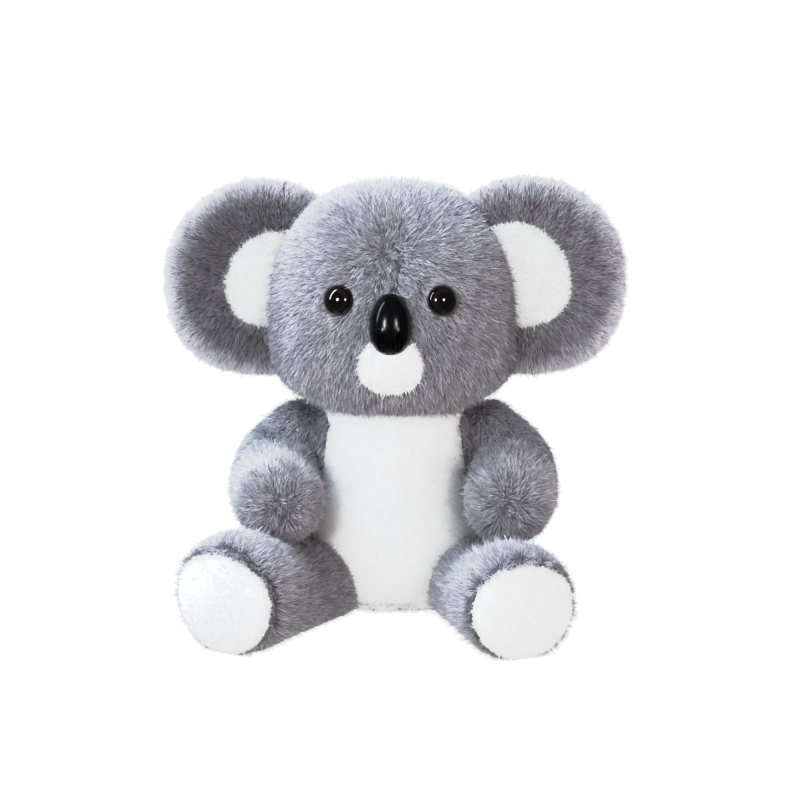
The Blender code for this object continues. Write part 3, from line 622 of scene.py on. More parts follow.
GREY_TONES = ((0, (0.175, 0.165, 0.172)), (0.5, (0.40, 0.388, 0.412)), (1, (0.72, 0.71, 0.745)))
WHITE_TONES = ((0, grey(0.66)), (0.26, grey(0.93)), (1, grey(0.96)))
IRIS_TONES = (
    (0, (0.004, 0.003, 0.003)), (0.52, (0.006, 0.004, 0.004)), (0.62, (0.019, 0.011, 0.009)),
    (0.70, (0.017, 0.010, 0.008)), (0.78, (0.009, 0.006, 0.005)), (0.84, (0.003, 0.002, 0.002)),
    (1, (0.003, 0.002, 0.002)),
)
GREY_PILE = pile_material("grey_pile", GREY_TONES, 0.36, 0.3)
WHITE_PILE = pile_material("white_pile", WHITE_TONES, 0.97, 0.1)
# The grey backing: its own grey cloth, partly darkened as painted shade to match the shaded roots of the
# pile.
GREY_CLOTH_WITH_PAINTED_SHADE = noise_material("grey_backing_with_painted_shade", (0.10, 0.095, 0.11), (0.17, 0.16, 0.18), 900, 0.95, specular=0.1)
WHITE_CLOTH = noise_material("white_backing", grey(0.90), grey(0.94), 700, 0.95, specular=0.1)
FIBRE = noise_material("fibre_fill", (0.78, 0.77, 0.74), (0.92, 0.91, 0.89), 260, 0.95, bump=0.8, sheen=0.3)
CANVAS = noise_material("canvas", (0.50, 0.46, 0.38), (0.66, 0.62, 0.53), 1200, 0.9, bump=0.6)
THREAD = noise_material("sewing_thread", (0.20, 0.19, 0.22), (0.32, 0.31, 0.35), 2500, 0.8, bump=0.6)
WASHER = noise_material("washer_plastic", (0.62, 0.62, 0.61), (0.72, 0.72, 0.71), 150, 0.45, bump=0.05)
NOSE = noise_material("nose_plastic", (0.0015, 0.0015, 0.0017), (0.004, 0.004, 0.0045), 500, 0.2, bump=0.05)


def give(thing, material):
    thing.data.materials.clear()
    thing.data.materials.append(material)
    return thing


def fasten(pieces, body, replaced):
    """Lets pieces ride on a body, the first of them in place of these nodes."""
    for piece in pieces:
        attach(piece, body)
    for piece, node in zip(pieces, replaced):
        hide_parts(node)


# Pile. density is hairs to the square metre. leans are degrees from the surface's normal, below and above
# a hair's bend. Hairs leave the flow by stray, and their tips gather by pull in tufts of this size. roll
# turns a hair about its length. smoothness is the surface's share in a hair's normals, and light_share the
# share of lighter hairs.

FIELDS = "material slot length width density leans stray tuft pull roll smoothness light_share"
Pile = namedtuple("Pile", FIELDS)
LONG_PILE = Pile(
    GREY_PILE, "grey_pile", length=0.0051, width=0.00023, density=4.6e6, leans=(40, 72), stray=0.42,
    tuft=0.0013, pull=0.22, roll=0.6, smoothness=0.38, light_share=0.2,
)
SHORT_PILE = Pile(
    WHITE_PILE, "white_pile", length=0.0018, width=0.00034, density=7e6, leans=(56, 78), stray=0.8,
    tuft=0.0012, pull=0.1, roll=0.3, smoothness=0.85, light_share=0,
)
STANDING_SHARE = 0.07  # of the hairs stand out of the pile
STANDING_LENGTH = 1.4
STANDING_LEAN = 0.6
SWIRL = 0.30  # of the flow
SWIRL_SIZE = 0.011
LENGTH_SPREAD = 0.2
LENGTH_LIMITS = (0.45, 1.4)
LEAN_SPREAD = np.radians(8)
BEND_SHARE = 0.45  # of a hair's length lies below its bend
TUFT_WANDER = 0.3  # of a tuft's size, so that tufts don't stand in rows
TUFT_WANDER_SIZE = 0.004
ROLL_LIMIT = 1.2
WIDTH_SHARES = (0.7, 0.6)  # least, and the range above it
TONE = 0.42
TONE_SPREAD = 0.13
TUFT_TONE_SPREAD = 0.05
TONE_DRIFT = 0.07
TONE_DRIFT_SIZE = 0.017
TONE_LIMITS = (0.02, 0.98)
LIGHTER = 0.30
ROOT_DEPTH = 0.0003  # of the roots below the cover
FLOOR_CLEARANCE = 0.0003
HAIR_MAP = ((0, 0.02), (-0.004, 0.46), (0.004, 0.46), (0, 0.98))  # of root, two sides of the bend, and tip
HAIR_FACES = ((0, 2, 1), (1, 2, 3))
WHORL_RADIUS = 0.012  # well inside it the pile lies every way
CLEAR_OF_FLOOR = 0.0015  # under the lowest roots of the long pile
PATCH_LIFT = 0.0006  # of a white panel above the cover


def roots_on(thing, density, generator, keep):
    """Evenly spread points of the surface, with their normals, where keep says so."""
    mesh = thing.data
    mesh.calc_loop_triangles()
    faces = values_of(mesh.loop_triangles, "vertices", kind=np.int32)
    corners = values_of(mesh.vertices, "co")[faces].astype(float)
    corner_normals = values_of(mesh.vertex_normals, "vector")[faces].astype(float)
    areas = lengths(np.cross(corners[:, 1] - corners[:, 0], corners[:, 2] - corners[:, 0]))[:, 0] / 2
    reach = np.cumsum(areas)
    count = int(reach[-1] * density)
    picks = (np.arange(count) + generator.random(count)) / count * reach[-1]
    chosen = np.minimum(np.searchsorted(reach, picks), len(areas) - 1)
    first = np.sqrt(generator.random(count))
    second = generator.random(count)
    shares = np.stack([1 - first, first * (1 - second), first * second], 1)[..., None]
    points = (corners[chosen] * shares).sum(1)
    normals = unit((corner_normals[chosen] * shares).sum(1))
    kept = keep(points, normals)
    return points[kept], normals[kept]


def wander(points, size):
    """Smooth wandering vectors, one for each point, that swing within about this distance."""
    ways = np.array([[1, 0.7, -0.4], [-0.5, 1, 0.8], [0.6, -0.3, 1]]) * math.tau / size
    finer = ways[::-1] * 1.7
    waves = np.sin(points @ ways.T + (0.3, 1.9, 4.1)) + 0.6 * np.sin(points @ finer.T + (2.2, 0.4, 5.3))
    return waves / 1.6


def unchanged(_points):
    return 1


def no_shade(_points):
    return 0


def grow(name, roots, normals, flow, pile, generator, length=unchanged, lean=unchanged, shade=no_shade):
    """One object of lance-shaped, bent hairs that lean along the flow and gather in tufts."""
    count = len(roots)

    def along_cover(vectors):
        return vectors - (vectors * normals).sum(1, keepdims=True) * normals

    def gathered(points, pull):
        means = np.stack([np.bincount(tufts, points[:, axis]) for axis in range(3)], 1)[tufts]
        return points + pull * (means / counts[tufts, None] - points)

    along = unit(along_cover(flow(roots) + SWIRL * wander(roots, SWIRL_SIZE)))
    along = unit(along + pile.stray * along_cover(generator.normal(size=(count, 3))))
    sizes = pile.length * np.clip(1 + LENGTH_SPREAD * generator.normal(size=count), *LENGTH_LIMITS)
    stands_out = generator.random(count) < STANDING_SHARE
    sizes = np.where(stands_out, STANDING_LENGTH * sizes, sizes) * length(roots)
    leans = np.radians(pile.leans)[:, None] + LEAN_SPREAD * generator.normal(size=(2, count))
    leans = np.where(stands_out, STANDING_LEAN * leans, leans) * lean(roots)
    near, far = (normals * np.cos(angle)[:, None] + along * np.sin(angle)[:, None] for angle in leans)
    middles = roots + near * (BEND_SHARE * sizes)[:, None]
    tips = middles + far * ((1 - BEND_SHARE) * sizes)[:, None]
    moved = roots + TUFT_WANDER * pile.tuft * wander(roots, TUFT_WANDER_SIZE)
    cells = np.floor(moved / pile.tuft).astype(np.int64)
    _, tufts, counts = np.unique(cells, axis=0, return_inverse=True, return_counts=True)
    tufts = tufts.ravel()
    tips = gathered(tips, pile.pull)
    middles = gathered(middles, 0.5 * pile.pull)
    roll = np.clip(generator.normal(size=count) * pile.roll, -ROLL_LIMIT, ROLL_LIMIT)
    flat = unit(np.cross(near, normals) + 1e-6)
    edge = np.cross(near, flat)
    sides = flat * np.cos(roll)[:, None] + edge * np.sin(roll)[:, None]
    least, more = WIDTH_SHARES
    half = sides * (pile.width / 2 * (least + more * generator.random(count)))[:, None]
    tones = TONE + TONE_SPREAD * generator.normal(size=count)
    tones += TUFT_TONE_SPREAD * generator.normal(size=counts.size)[tufts]
    tones += TONE_DRIFT * wander(roots, TONE_DRIFT_SIZE)[:, 0]
    # The last term adds the painted light and shade that each piece asks for.
    tones = np.where(generator.random(count) < pile.light_share, tones + LIGHTER, tones) + shade(roots)
    points = np.stack([roots - ROOT_DEPTH * normals, middles - half, middles + half, tips], 1)
    points[..., 2] = np.maximum(points[..., 2], FLOOR_CLEARANCE)
    faces = np.array(HAIR_FACES) + 4 * np.arange(count)[:, None, None]
    uvs = np.repeat(np.array(HAIR_MAP)[np.ravel(HAIR_FACES)][None], count, 0)
    uvs[..., 0] += np.clip(tones, *TONE_LIMITS)[:, None]
    hair = mesh_object(name, points.reshape(-1, 3), faces.reshape(-1, 3), uvs.reshape(-1, 2))
    blades = unit(np.cross(half, near))
    facing = unit(pile.smoothness * normals + (1 - pile.smoothness) * blades)
    hair.data.normals_split_custom_set_from_vertices(np.repeat(facing, 4, 0).astype(np.float32))
    return give(hair, pile.material)


def grow_on(name, thing, keep, flow, pile, generator, thinning=1, **changes):
    """Pile on the part of a surface that keep picks."""
    roots, normals = roots_on(thing, thinning * pile.density, generator, keep)
    return grow(name, roots, normals, flow, pile, generator, **changes)


def away_from(*point):
    """Flow that fans out from a point."""

    def flow(points):
        offset = points - np.array(point)
        return offset / (lengths(offset) + WHORL_RADIUS)

    return flow


def turned_aside(way, offset, near):
    """A flow that parts where it would run into something at minus this offset, as far as it is near."""
    outward = unit(offset)
    into = np.minimum((way * outward).sum(1, keepdims=True), 0)
    return way - near * into * outward


def distance_to(field, points):
    """About how far points lie outside a form, and below 0 inside it."""
    value = field(points)
    slopes = [(field(points + SMALL_STEP * axis) - value) / SMALL_STEP for axis in np.eye(3)]
    return value / np.maximum(np.linalg.norm(slopes, axis=0), 1e-9)


# Patches of white pile, let into a cover

def patch_form(name, outline, surface, lift, rings=22):
    """Closed thin panel over an outline of X and Z that lies on a surface, its rim sunk into the cover."""
    middle = outline.mean(0)
    count = len(outline)
    shares = np.sqrt(np.arange(1, rings + 1) / rings)
    flat = np.concatenate([[middle]] + [middle + share * (outline - middle) for share in shares])

    def at(east, north):
        x, z = flat[:, 0] + east, flat[:, 1] + north
        return np.stack([x, surface(x, z), z], 1)

    place = at(0, 0)
    outward = unit(np.cross(at(SMALL_STEP, 0) - place, at(0, SMALL_STEP) - place))
    edge = np.concatenate([[0], np.repeat(shares, count)])
    height = lift - (lift + 0.0002) * edge**24
    points = np.concatenate([place + outward * height[:, None], place - outward * WALL * 0.8])
    size = len(flat)
    last = size - count
    layer, rim = [], []
    for step in range(count):
        after = (step + 1) % count
        layer.append((0, 1 + step, 1 + after))
        for low in range(1, last, count):
            high = low + count
            layer += [(low + step, high + step, high + after), (low + step, high + after, low + after)]
        here, there = last + step, last + after
        rim += [(here, there, size + there), (here, size + there, size + here)]
    faces = np.concatenate([layer, np.array(layer) + size, rim])
    spread = points[:, [0, 2]] - points[:, [0, 2]].min(0)
    spread = spread / spread.max() * (0.48, 1)
    spread[size:, 0] += 0.5
    return face_outwards(mesh_object(name, points, faces, spread[faces].reshape(-1, 2)))


def inside(points, outline, margin=-0.0004):
    """Which points lie inside an outline of X and Z, seen along Y, moved out by a margin."""
    middle = outline.mean(0)
    spread = outline - middle
    course = middle + spread * (1 + margin / lengths(spread))
    found = np.zeros(len(points), bool)
    x, z = points[:, 0], points[:, 2]
    for (ax, az), (bx, bz) in zip(course, np.roll(course, -1, 0)):
        crosses = (az > z) != (bz > z)
        rise = bz - az if bz != az else 1e-12
        found ^= crosses & (x < ax + (z - az) * (bx - ax) / rise)
    return found


def longer_at_rim(outline, more):
    """Share of a pile's length that grows by more within a few millimetres of an outline."""

    def share(points):
        return 1 + more * (~inside(points, outline, -0.0022)) + more / 2 * (~inside(points, outline, -0.0045))

    return share


def belly_outline():
    """The belly panel's outline, rounded through its chosen points."""
    half = list(BELLY_OUTLINE)
    course = np.array([(-x, z) for x, z in half] + half[::-1])
    points = []
    for index in range(len(course)):
        near = [course[(index + step) % len(course)] for step in (-1, 0, 1, 2)]
        for part in range(6):
            points.append(sum(weight * place for weight, place in zip(spline_weights(part / 6), near)))
    return np.array(points)


# Head, with its muzzle

WHORL_ON_BROW = (FACE_SHIFT, -0.046, 0.185)
MUZZLE_NARROWING = 0.0012  # of the white pile's outline against the patch
FAR = 9  # beyond every share that matters
BACK_FALL = 1.2
CHIN_FALL = 0.35
EYE_PARTING = 0.012  # the flow turns aside this near to an eye
NOSE_PARTING = 1.6  # and this near to the nose, in its own half sizes
# Painted shade by the ears, where they shade the head's sides, and in the brow's whorl, where the pile parts;
# painted light beside the eyes and the nose.
BY_THE_EAR_PAINTED_SHADE = -0.28
BESIDE_FACE_PAINTED_LIGHT = 0.22
BROW_WHORL_PAINTED_SHADE = -0.07


def make_head():
    cover = head_cover_form("head_cover", PILE_SINK, segments=96, bands=64)
    give(cover, GREY_CLOTH_WITH_PAINTED_SHADE)
    across, up = superround(turn_angles(72), MUZZLE_EXPONENT)
    half_width = MUZZLE_HALF_WIDTH - PILE_SINK - MUZZLE_NARROWING
    half_height = MUZZLE_HALF_HEIGHT - PILE_SINK
    outline = np.stack([FACE_SHIFT + half_width * across, MUZZLE_LEVEL + half_height * up], 1)
    muzzle = patch_form("muzzle_panel", outline, head_front, lift=0.0008)
    give(muzzle, WHITE_CLOTH)
    nose_middle, *eye_middles = (
        np.array(face_frame(FACE_SHIFT + out, level).translation)
        for out, level in ((0, NOSE_LEVEL), (-EYE_OUT, EYE_LEVEL), (EYE_OUT, EYE_LEVEL))
    )
    from_brow = away_from(*WHORL_ON_BROW)

    def nose_reach(points):
        """Distance from the nose's middle, as a share of its own outline."""
        across, _, up = ((points - nose_middle) / (NOSE_HALF_WIDTH, 1, NOSE_HALF_HEIGHT)).T
        return np.where(points[:, 1] < 0, np.hypot(across, up), FAR)

    def eye_reach(points):
        """Distance from the nearer eye's middle, as a share of its radius."""
        return np.minimum(*(distances(points, middle) for middle in eye_middles)) / EYE_RADIUS

    def off_the_face(points):
        return (nose_reach(points) > 1) & (eye_reach(points) > 0.97)

    def grey_here(points, normals):
        white = inside(points, outline) & (points[:, 1] < 0)
        return ~white & (distances(points, NECK_MIDDLE) > DISH_RADIUS + 0.0015) & off_the_face(points)

    def fan(points):
        """Up and out from between the eyes, round the eyes and the nose, and down the chin and the back."""
        way = from_brow(points)
        way[:, 2] -= BACK_FALL * eased(points[:, 1], 0, 0.045)
        way[:, 2] -= CHIN_FALL * eased(-points[:, 2], -0.150, 0.03)
        for middle in eye_middles:
            offset = points - middle
            way = turned_aside(way, offset, np.exp(-((lengths(offset) / EYE_PARTING) ** 2)))
        near = np.exp(-((nose_reach(points) / NOSE_PARTING) ** 2))[:, None]
        return turned_aside(way, points - nose_middle, near)

    def off_the_brow(points):
        return eased(distances(points, WHORL_ON_BROW), 0.006, 0.012)

    def length(points):
        """Shorter by the eyes, the nose, the whorl and under the cheeks, and longer under the chin."""
        x, _, z = points.T
        off_face = eased(nose_reach(points), 1, 0.5) * eased(eye_reach(points), 1, 0.5)
        under = (1 - eased(z, 0.103, 0.020)) * (0.25 - 0.5 * eased(np.abs(x), 0.028, 0.010))
        return (0.7 + 0.3 * off_face) * (1 + under) * (0.7 + 0.3 * off_the_brow(points))

    def shade(points):
        """Painted shade darkens the whorl and the sides by the ears; painted light lightens beside the eyes
        and the nose, where roots show.
        """
        x, y, _ = points.T
        beside = np.maximum(eased(-nose_reach(points), -1.5, 0.75), eased(-eye_reach(points), -1.8, 0.9))
        in_the_ears_shade = eased(np.abs(x), 0.048, 0.009) * (np.abs(y + 0.005) < 0.03)
        whorl = 1 - off_the_brow(points)
        return BESIDE_FACE_PAINTED_LIGHT * beside + BROW_WHORL_PAINTED_SHADE * whorl + BY_THE_EAR_PAINTED_SHADE * in_the_ears_shade

    generator = np.random.default_rng(11)
    roots, normals = roots_on(cover, LONG_PILE.density, generator, grey_here)
    pieces = [cover, muzzle]
    for name, part in (("head_fur_front", roots[:, 1] < 0), ("head_fur_back", roots[:, 1] >= 0)):
        pieces.append(grow(name, roots[part], normals[part], fan, LONG_PILE, generator, length, shade=shade))

    def white_here(points, normals):
        return (normals[:, 1] < 0) & off_the_face(points)

    down = away_from(FACE_SHIFT, -0.050, 0.145)
    longer = longer_at_rim(outline, 0.6)
    pieces.append(grow_on("muzzle_pile", muzzle, white_here, down, SHORT_PILE, generator, length=longer))
    fasten(pieces, "head", ("head_skin", "muzzle_patch"))
    return cover


# Ears

EAR_LEAN_SHARE = {"right": 0.45, "left": 0.85}  # of the pile round the patch
# Painted shade on the ear's front round the patch, where it faces away from the light, and painted light at
# the lit rim.
EAR_FRONT_PAINTED_SHADE = {"right": -0.20, "left": -0.14}
EAR_RIM_PAINTED_LIGHT = 0.38
# Painted shade over the ear's white patch, whose front lies in shade.
EAR_PATCH_PAINTED_SHADE = -0.34


def make_ear(side, sign, head):
    back, level = EAR_BACK[side], EAR_LEVEL[side]
    cover = ear_cover_form(f"{side}_ear_cover", side, sign, PILE_SINK, segments=96, bands=28)
    give(cover, GREY_CLOTH_WITH_PAINTED_SHADE)
    axis = Vector((math.sin(EAR_HINGE_LEAN), 0, -sign * math.cos(EAR_HINGE_LEAN)))
    hinge = (Vector((sign * EAR_HINGE_OUT, back, level)), axis)
    cut_by(cover, head, hinge, (-EAR_FLAP, EAR_FLAP))
    outline = ear_patch_outline(side, sign)

    def front(x, z):
        return ear_front(side, sign, x, z)

    panel = patch_form(f"{side}_ear_panel", outline, front, lift=PATCH_LIFT)
    give(panel, WHITE_CLOTH)
    cut_by(panel, head, hinge, ())
    generator = np.random.default_rng(21 + sign)

    def off_the_head(points):
        return distance_to(head_field, points) > 0.0008

    def grey_here(points, normals):
        return ~(inside(points, outline) & (normals[:, 1] < 0)) & off_the_head(points)

    def white_here(points, normals):
        return (normals[:, 1] < 0) & off_the_head(points)

    def rim_share(points):
        reach = np.hypot(points[:, 0] - sign * EAR_OUT, points[:, 2] - level) / EAR_RADIUS
        return eased(reach, 0.72, 0.25)

    def lean(points):
        """The pile stands up round the patch, and lies down towards the rim and behind."""
        flat = np.maximum(rim_share(points), points[:, 1] > back)
        return EAR_LEAN_SHARE[side] + (1 - EAR_LEAN_SHARE[side]) * flat

    def shade(points):
        """In front, dark round the patch as painted shade, and light at the rim as painted light."""
        rim = rim_share(points)
        return np.where(points[:, 1] < back, EAR_FRONT_PAINTED_SHADE[side] * (1 - rim) + EAR_RIM_PAINTED_LIGHT * rim, 0)

    # Painted shade over the whole white patch.
    def patch_shade(points):
        return EAR_PATCH_PAINTED_SHADE

    fan_in_front = away_from(sign * EAR_PATCH_OUT, back, level)
    fan_behind = away_from(0, back, level)

    def fan(points):
        behind = eased(points[:, 1:2] - back + 0.3 * EAR_HALF_THICKNESS, 0, EAR_HALF_THICKNESS)
        return fan_in_front(points) * (1 - behind) + fan_behind(points) * behind

    name = f"{side}_ear_fur"
    fur = grow_on(name, cover, grey_here, fan, LONG_PILE, generator, lean=lean, shade=shade)
    longer = longer_at_rim(outline, 0.6)
    name = f"{side}_ear_pile"
    fuzz = grow_on(name, panel, white_here, fan, SHORT_PILE, generator, length=longer, shade=patch_shade)
    replaced = (f"{side}_ear_skin", f"{side}_ear_patch")
    fasten((cover, panel, fur, fuzz), f"{side}_ear", replaced)


# Torso

TORSO_THINNING = 0.97  # thins the torso's fur a little; keeps its fur within the number of triangles for one piece


def make_torso():
    cover = torso_cover_form("torso_cover", inset=0, segments=96, bands=20)
    give(cover, GREY_CLOTH_WITH_PAINTED_SHADE)
    outline = belly_outline()
    panel = patch_form("belly_cover", outline, torso_front, lift=PATCH_LIFT, rings=30)
    give(panel, WHITE_CLOTH)
    generator = np.random.default_rng(31)

    def grey_here(points, normals):
        white = inside(points, outline) & (points[:, 1] < 0)
        return ~white & (points[:, 2] < NECK_HEIGHT + 0.026) & (points[:, 2] > CLEAR_OF_FLOOR)

    def white_here(points, normals):
        return normals[:, 1] < 0.1

    def down(points):
        return np.array([0, 0, -1]) + 0.2 * unit(points)

    at_rim = longer_at_rim(outline, 0.4)

    def longer(points):
        """Longer at the panel's rim, and most at its hem."""
        return at_rim(points) + 0.9 * (points[:, 2] < 0.008)

    fur = grow_on("torso_fur", cover, grey_here, down, LONG_PILE, generator, thinning=TORSO_THINNING)
    fuzz = grow_on("belly_pile", panel, white_here, down, SHORT_PILE, generator, length=longer)
    fasten((cover, panel, fur, fuzz), "torso", ("back_skin", "belly_panel"))
    return cover


# Arms

PAW_WHORL = {"right": (-0.0531, -0.070, 0.0650), "left": (0.0540, -0.070, 0.0659)}
CLEAR_OF_TORSO = 0.0009  # between the torso and the roots on a limb


def make_arm(side, sign, torso):
    stations = arm_stations(sign)
    tip, tip_radius = stations[-1]
    cover = limb_form(f"{side}_arm_cover", stations, tip_radius, 2, inset=0, segments=60, count=36)
    give(cover, GREY_CLOTH_WITH_PAINTED_SHADE)
    hinge = (Vector((sign * SHOULDER_OUT, 0, SHOULDER_LEVEL)), Vector((-1, 0, 0)))
    cut_by(cover, torso, hinge, ARM_SWING)
    way = unit(tip - stations[-2][0])
    from_whorl = away_from(*PAW_WHORL[side])
    fall = unit(np.array([sign * 0.3, -0.2, -1.0]))

    def flow(points):
        """Fans out from the paw's whorl, and runs down the upper arm to meet it."""
        upper = eased((tip - points) @ way, 0.020, 0.012)[:, None]
        return (1 - upper) * from_whorl(points) + upper * fall

    def grey_here(points, normals):
        return distance_to(torso_field, points) > CLEAR_OF_TORSO

    def off_the_whorl(points):
        return eased(distances(points, PAW_WHORL[side]), 0.003, 0.009)

    def length(points):
        """Longer on the shoulder and shorter in the whorl."""
        return (1 + 0.3 * eased(points[:, 2], 0.086, 0.012)) * (0.7 + 0.3 * off_the_whorl(points))

    def lean(points):
        return 0.6 + 0.4 * off_the_whorl(points)

    # Painted light in the paw's whorl, where dark roots show, and up the shoulder, where the head's shade
    # falls.
    def shade(points):
        return 0.04 * (1 - off_the_whorl(points)) + 0.14 * eased(points[:, 2], 0.076, 0.012)

    generator = np.random.default_rng(41 + sign)
    name = f"{side}_arm_fur"
    fur = grow_on(name, cover, grey_here, flow, LONG_PILE, generator, length=length, lean=lean, shade=shade)
    fasten((cover, fur), f"{side}_arm", (f"{side}_arm_skin",))


# Legs, with their soles

SEAM_DIP = 0.0045  # of the sole's seam over the toes


def make_leg(side, sign, torso):
    stations = leg_stations(side, sign)
    name = f"{side}_leg_cover"
    cover = limb_form(name, stations, SOLE_DEPTH, SOLE_EXPONENT, inset=0, segments=72, count=40)
    give(cover, GREY_CLOTH_WITH_PAINTED_SHADE)
    cut_by(cover, torso, (Vector(hip(sign)), Vector((0, 0, sign))), LEG_SPLAY)
    way = leg_way(side, sign)
    foot = stations[-1][0]
    radius = FOOT_RADIUS[side] - SOLE_NARROWING
    panel = sole_form(f"{side}_sole_panel", foot, way, radius)
    give(panel, WHITE_CLOTH)

    def past_the_seam(points):
        """How far points lie beyond the sole's seam, which dips over the toes."""
        high = (points[:, 2] - foot[2]) / radius
        return (points - foot) @ way - SOLE_SEAM - SEAM_DIP * eased(high, 0.1, 0.9)

    tuck_in(panel, past_the_seam, foot, way)

    def grey_here(points, normals):
        clear = (distance_to(torso_field, points) > CLEAR_OF_TORSO) & (points[:, 2] > CLEAR_OF_FLOOR)
        return clear & (past_the_seam(points) < 0)

    def white_here(points, normals):
        return (normals @ way > 0.02) & (points[:, 2] > 0.0006) & (past_the_seam(points) > 0.0004)

    def by_the_seam(points):
        return 1 - eased(-past_the_seam(points), 0, 0.007)

    def to_the_hip(points):
        """Back along the leg, and over the seam beside it."""
        return way * (1.7 * by_the_seam(points) - 1)[:, None] + 0.25 * unit(points - foot)

    def lean(points):
        return 1 - 0.4 * by_the_seam(points)

    # Painted light by the sole's seam, lifting the shade where dark roots show.
    def shade(points):
        return 0.08 * by_the_seam(points)

    def longer(points):
        return 1 + 0.25 * (past_the_seam(points) < 0.0018)

    generator = np.random.default_rng(51 + sign)
    name = f"{side}_leg_fur"
    fur = grow_on(name, cover, grey_here, to_the_hip, LONG_PILE, generator, lean=lean, shade=shade)
    fan = away_from(*(foot - 0.006 * way))
    fuzz = grow_on(f"{side}_sole_pile", panel, white_here, fan, SHORT_PILE, generator, length=longer)
    replaced = (f"{side}_leg_skin", f"{side}_sole_patch")
    fasten((cover, panel, fur, fuzz), f"{side}_leg", replaced)


def tuck_in(panel, past_the_seam, foot, way):
    """Sinks the part of a sole that lies behind its seam below the cover."""
    places = values_of(panel.data.vertices, "co").astype(float)
    behind = (past_the_seam(places) < 0) & ((places - foot) @ way > SOLE_SEAM / 2)
    places = places + np.where(behind[:, None], 0.0012 * unit(foot - places), 0)
    panel.data.vertices.foreach_set("co", places.astype(np.float32).ravel())
    panel.data.update()


def sole_form(name, foot, way, radius, segments=72, steps=18):
    """Closed dome over the foot's end, a little outside the cover."""
    base = foot + 0.0002 * way
    rings = [ring_across(base, way, radius - 0.002, segments)]
    for step in range(steps):
        share, reach = superround(math.pi / 2 * step / steps, SOLE_EXPONENT)
        centre = foot + way * (SOLE_SEAM + reach * (SOLE_DEPTH - SOLE_SEAM + PATCH_LIFT))
        rings.append(ring_across(centre, way, share * (radius + 0.0004), segments))
    return closed_grid(name, above_floor(np.array(rings)), base, foot + way * (SOLE_DEPTH + PATCH_LIFT))


# Eyes and nose

NOSTRIL_OUT = 0.00532  # at the nose's middle, and by the slant less below it
NOSTRIL_SLANT = 0.12
NOSTRIL_LEVEL = -0.0084
NOSTRIL_HALF_WIDTH = 0.0014
NOSTRIL_HALF_HEIGHT = 0.0036
NOSTRIL_DEPTH = 0.0034
NOSTRIL_RIM = 0.0004
GROOVE_OUT = 0.0013
GROOVE_HALF_WIDTH = 0.0005
GROOVE_LEVEL = -0.0112
GROOVE_HALF_HEIGHT = 0.0042
GROOVE_DEPTH = 0.0014


def make_eye(side, sign, material):
    """Dome on a shank, with the way out from its middle up its map."""
    middle = face_frame(FACE_SHIFT + sign * EYE_OUT, EYE_LEVEL)
    foot = -0.0008
    profile = [(SHANK_RADIUS, -SHANK_LENGTH), (SHANK_RADIUS, foot), (EYE_RADIUS - 0.0005, foot)]
    for angle in np.radians(np.arange(-6, 90, 4)):
        profile.append((EYE_RADIUS * math.cos(angle), 0.0004 + EYE_HALF_DEPTH * math.sin(angle)))
    rings = level_rings([(radius, radius, height, 2) for radius, height in profile], 64)
    eye = grid_in_frame(f"{side}_eye_dome", middle, rings, profile[0][1], profile[-1][1])
    turn = np.array(middle.inverted())
    local = values_of(eye.data.vertices, "co") @ turn[:3, :3].T + turn[:3, 3]
    reach = np.where(local[:, 2] < 0, 1.0, np.linalg.norm(local[:, :2], axis=1) / EYE_RADIUS)
    angle = np.arctan2(local[:, 1], local[:, 0]) / math.tau + 0.5
    flat = 0.02 + 0.96 * np.stack([angle, np.clip(reach, 0, 1)], 1)
    corners = values_of(eye.data.loops, "vertex_index", 1, np.int32)[:, 0]
    eye.data.uv_layers[MAP_NAME].data.foreach_set("uv", flat[corners].astype(np.float32).ravel())
    give(eye, material)
    fasten([eye], "head", [f"{side}_eye"])


def make_nose(bands=72, segments=120):
    """Egg-shaped nose with two nostril hollows and grooves between them."""
    share, rise = superround(band_angles(bands), NOSE_EXPONENT)
    across, up = superround(turn_angles(segments), NOSE_EXPONENT)
    y = share[:, None] * up * NOSE_HALF_HEIGHT
    x = share[:, None] * across * NOSE_HALF_WIDTH * (1 - NOSE_TAPER_SHARE * y / NOSE_HALF_HEIGHT)
    z = np.repeat(rise[:, None] * NOSE_HALF_DEPTH, segments, 1)
    depth = np.zeros_like(x)
    for sign in SIDES.values():
        across = (x - sign * (NOSTRIL_OUT + NOSTRIL_SLANT * y)) / NOSTRIL_HALF_WIDTH
        reach = np.hypot(across, (y - NOSTRIL_LEVEL) / NOSTRIL_HALF_HEIGHT)
        depth += NOSTRIL_DEPTH * np.exp(-(reach**3)) - NOSTRIL_RIM * np.exp(-(((reach - 1.4) / 0.3) ** 2))
        groove = np.exp(-(((x - sign * GROOVE_OUT) / GROOVE_HALF_WIDTH) ** 2))
        depth += GROOVE_DEPTH * groove * np.exp(-(((y - GROOVE_LEVEL) / GROOVE_HALF_HEIGHT) ** 4))
    z = z - depth * np.clip(z / NOSE_HALF_DEPTH * 2.5, 0, 1)
    middle = face_frame(FACE_SHIFT, NOSE_LEVEL)
    rings = np.stack([x, y, z], -1)
    nose = grid_in_frame("nose_button", middle, rings, -NOSE_HALF_DEPTH, NOSE_HALF_DEPTH)
    give(nose, NOSE)
    fasten([nose], "head", ["nose"])


# What the covers hold

